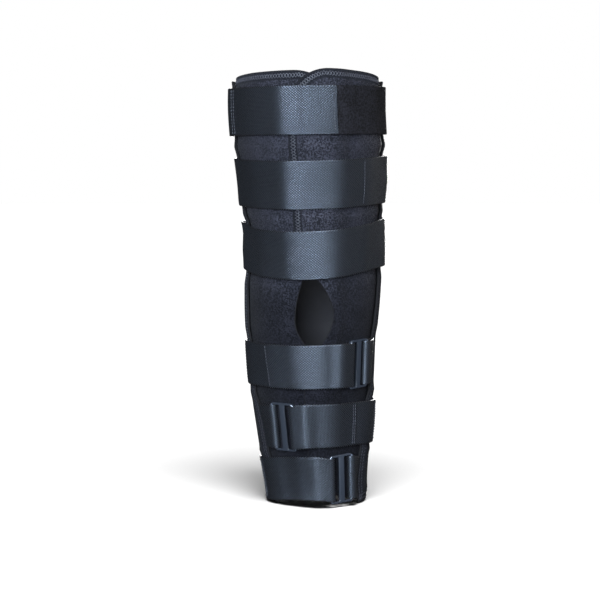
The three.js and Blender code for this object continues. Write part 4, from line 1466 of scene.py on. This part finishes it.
class BRACE_OT_loop_tape(PieceOperator, bpy.types.Operator):
    """Add the fuzzy tape that the top strap closes on"""
    bl_idname = "brace.loop_tape"
    bl_label = "Loop Tape"

    def make(self, sizes, colours):
        lift = LAYER_GAP + LOOP_TAPE / 2
        end = rear_angle("thigh_top", 1)
        stations = stations_between("thigh_top", LOOP_TAPE_START, end, lambda angle: lift)
        pile = finish_of(loop_pile_finish, colours)
        woven_strip("loop_tape", stations, LOOP_TAPE, sizes, pile, "loop_pile", 11)


class BRACE_OT_calf_straps(PieceOperator, bpy.types.Operator):
    """Add the three calf straps and the tabs that hold their buckles"""
    bl_idname = "brace.calf_straps"
    bl_label = "Calf Straps and Tabs"

    def make(self, sizes, colours):
        for seed, strap in enumerate(CALF_STRAPS):
            name = strap["name"]
            frame_of = buckle_frame(name)
            webbing_strip(name + "_strap", folded_strap(name, frame_of), sizes, colours, 20 + seed)
            webbing_strip(name + "_tab", buckle_tab(name, frame_of), sizes, colours, 30 + seed)


class BRACE_OT_buckles(PieceOperator, bpy.types.Operator):
    """Model one buckle and place its three copies"""
    bl_idname = "brace.buckles"
    bl_label = "Buckles"

    def make(self, sizes, colours):
        plastic = finish_of(buckle_finish, colours)
        pattern = model_buckle(sizes)
        for strap in CALF_STRAPS:
            place_buckle(pattern, strap["name"], buckle_frame(strap["name"]), plastic)
        bpy.data.objects.remove(pattern)


class BRACE_OT_strap_stitches(PieceOperator, bpy.types.Operator):
    """Sew the straight stitches on the straps"""
    bl_idname = "brace.strap_stitches"
    bl_label = "Strap Stitches"

    def make(self, sizes, colours):
        for name in STRAPS:
            runs = strap_stitching(name, SURFACES[name + "_strap"], sizes)
            sew(name + "_stitches", runs, sizes, colours, 5)


def add_light(row, front_power, subjects):
    """A softbox that lights only its subjects"""
    data = bpy.data.lights.new(row["name"], "AREA")
    data.shape = "RECTANGLE"
    data.size = row["width"]
    data.size_y = row["height"]
    data.energy = row["share"] * front_power
    data.color = row["colour"]
    light = add_object(row["name"], data)
    spot = Vector(row["spot"])
    light.location = spot
    light.rotation_euler = (Vector(row["target"]) - spot).to_track_quat("-Z", "Y").to_euler()
    light.visible_camera = False
    lit = bpy.data.collections.new(row["name"] + " subjects")
    for subject in subjects:
        lit.objects.link(subject)
    light.light_linking.receiver_collection = lit


class BRACE_OT_stage(bpy.types.Operator):
    """Add the floor, the lights, the even room light and the camera"""
    bl_idname = "brace.stage"
    bl_label = "Stage"
    bl_options = {"REGISTER", "UNDO"}

    def execute(self, context):
        stage = context.scene.brace_stage
        bpy.ops.object.select_all(action="DESELECT")
        bpy.ops.mesh.primitive_plane_add(size=FLOOR_SIZE, location=(0, 0, CAD_BOX[0][2] - FLOOR_GAP))
        floor = context.active_object
        floor.name = "studio_floor"
        floor.data.materials.append(floor_finish())
        floor.visible_glossy = False
        pieces = [o for o in context.scene.objects if o.type == "MESH" and o is not floor]
        slides = [o for o in pieces if o.name.endswith("_slide")]
        for row in LIGHTS:
            subjects = slides if row["name"].startswith("buckle") else pieces
            add_light(row, stage.front_power, subjects)
        sky = bpy.data.lights.new("top_light", "SUN")
        sky.energy = stage.top_light
        sky.angle = SUN_SIZE
        add_object("top_light", sky).rotation_euler = SUN_TURN
        self.light_room(context.scene, stage.room_light)
        data = bpy.data.cameras.new("photo_camera")
        data.angle = stage.view_angle
        data.clip_end = FAR_OFF
        camera = add_object("photo_camera", data)
        camera.location = (-stage.camera_side, -stage.camera_distance, stage.camera_height)
        camera.rotation_euler = (math.pi / 2 - stage.camera_tilt, 0, 0)
        context.scene.camera = camera
        context.scene.view_settings.view_transform = "Standard"
        return {"FINISHED"}

    def light_room(self, scene, strength):
        """An even pale room: white to look at, dimmer as a light"""
        room = bpy.data.worlds.new("studio_room")
        room.use_nodes = True
        nodes, links = room.node_tree.nodes, room.node_tree.links
        background = nodes["Background"]
        background.inputs["Color"].default_value = (1, 1, 1, 1)
        seen = nodes.new("ShaderNodeLightPath").outputs["Is Camera Ray"]
        level = nodes.new("ShaderNodeMapRange")
        level.inputs["To Min"].default_value = strength
        level.inputs["To Max"].default_value = 1.0
        links.new(seen, level.inputs["Value"])
        links.new(level.outputs["Result"], background.inputs["Strength"])
        scene.world = room


PIECE_OPERATORS = (
    BRACE_OT_foam_panels, BRACE_OT_edge_seams, BRACE_OT_thigh_straps, BRACE_OT_loop_tape,
    BRACE_OT_calf_straps, BRACE_OT_buckles, BRACE_OT_strap_stitches, BRACE_OT_stage,
)


class BRACE_PT_panel(bpy.types.Panel):
    """Lists the settings and the operators"""
    bl_label = "Knee Immobilizer"
    bl_space_type = "VIEW_3D"
    bl_region_type = "UI"
    bl_category = "Knee Immobilizer"

    def draw(self, context):
        scene = context.scene
        for group in (scene.brace_sizes, scene.brace_colours, scene.brace_stage):
            box = self.layout.box()
            for name in group.__annotations__:
                box.prop(group, name)
        for operator in PIECE_OPERATORS:
            self.layout.operator(operator.bl_idname)


SETTINGS = {"brace_sizes": BraceSizes, "brace_colours": BraceColours, "brace_stage": BraceStage}


def register():
    for group in SETTINGS.values():
        bpy.utils.register_class(group)
    for operator in PIECE_OPERATORS:
        bpy.utils.register_class(operator)
    bpy.utils.register_class(BRACE_PT_panel)
    for name, group in SETTINGS.items():
        setattr(bpy.types.Scene, name, bpy.props.PointerProperty(type=group))


def unregister():
    for name in SETTINGS:
        delattr(bpy.types.Scene, name)
    bpy.utils.unregister_class(BRACE_PT_panel)
    for operator in reversed(PIECE_OPERATORS):
        bpy.utils.unregister_class(operator)
    for group in SETTINGS.values():
        bpy.utils.unregister_class(group)


def main():
    register()
    bpy.ops.brace.foam_panels()
    bpy.ops.brace.edge_seams()
    bpy.ops.brace.thigh_straps()
    bpy.ops.brace.loop_tape()
    bpy.ops.brace.calf_straps()
    bpy.ops.brace.buckles()
    bpy.ops.brace.strap_stitches()
    bpy.ops.brace.stage()


if __name__ == "__main__":
    main()
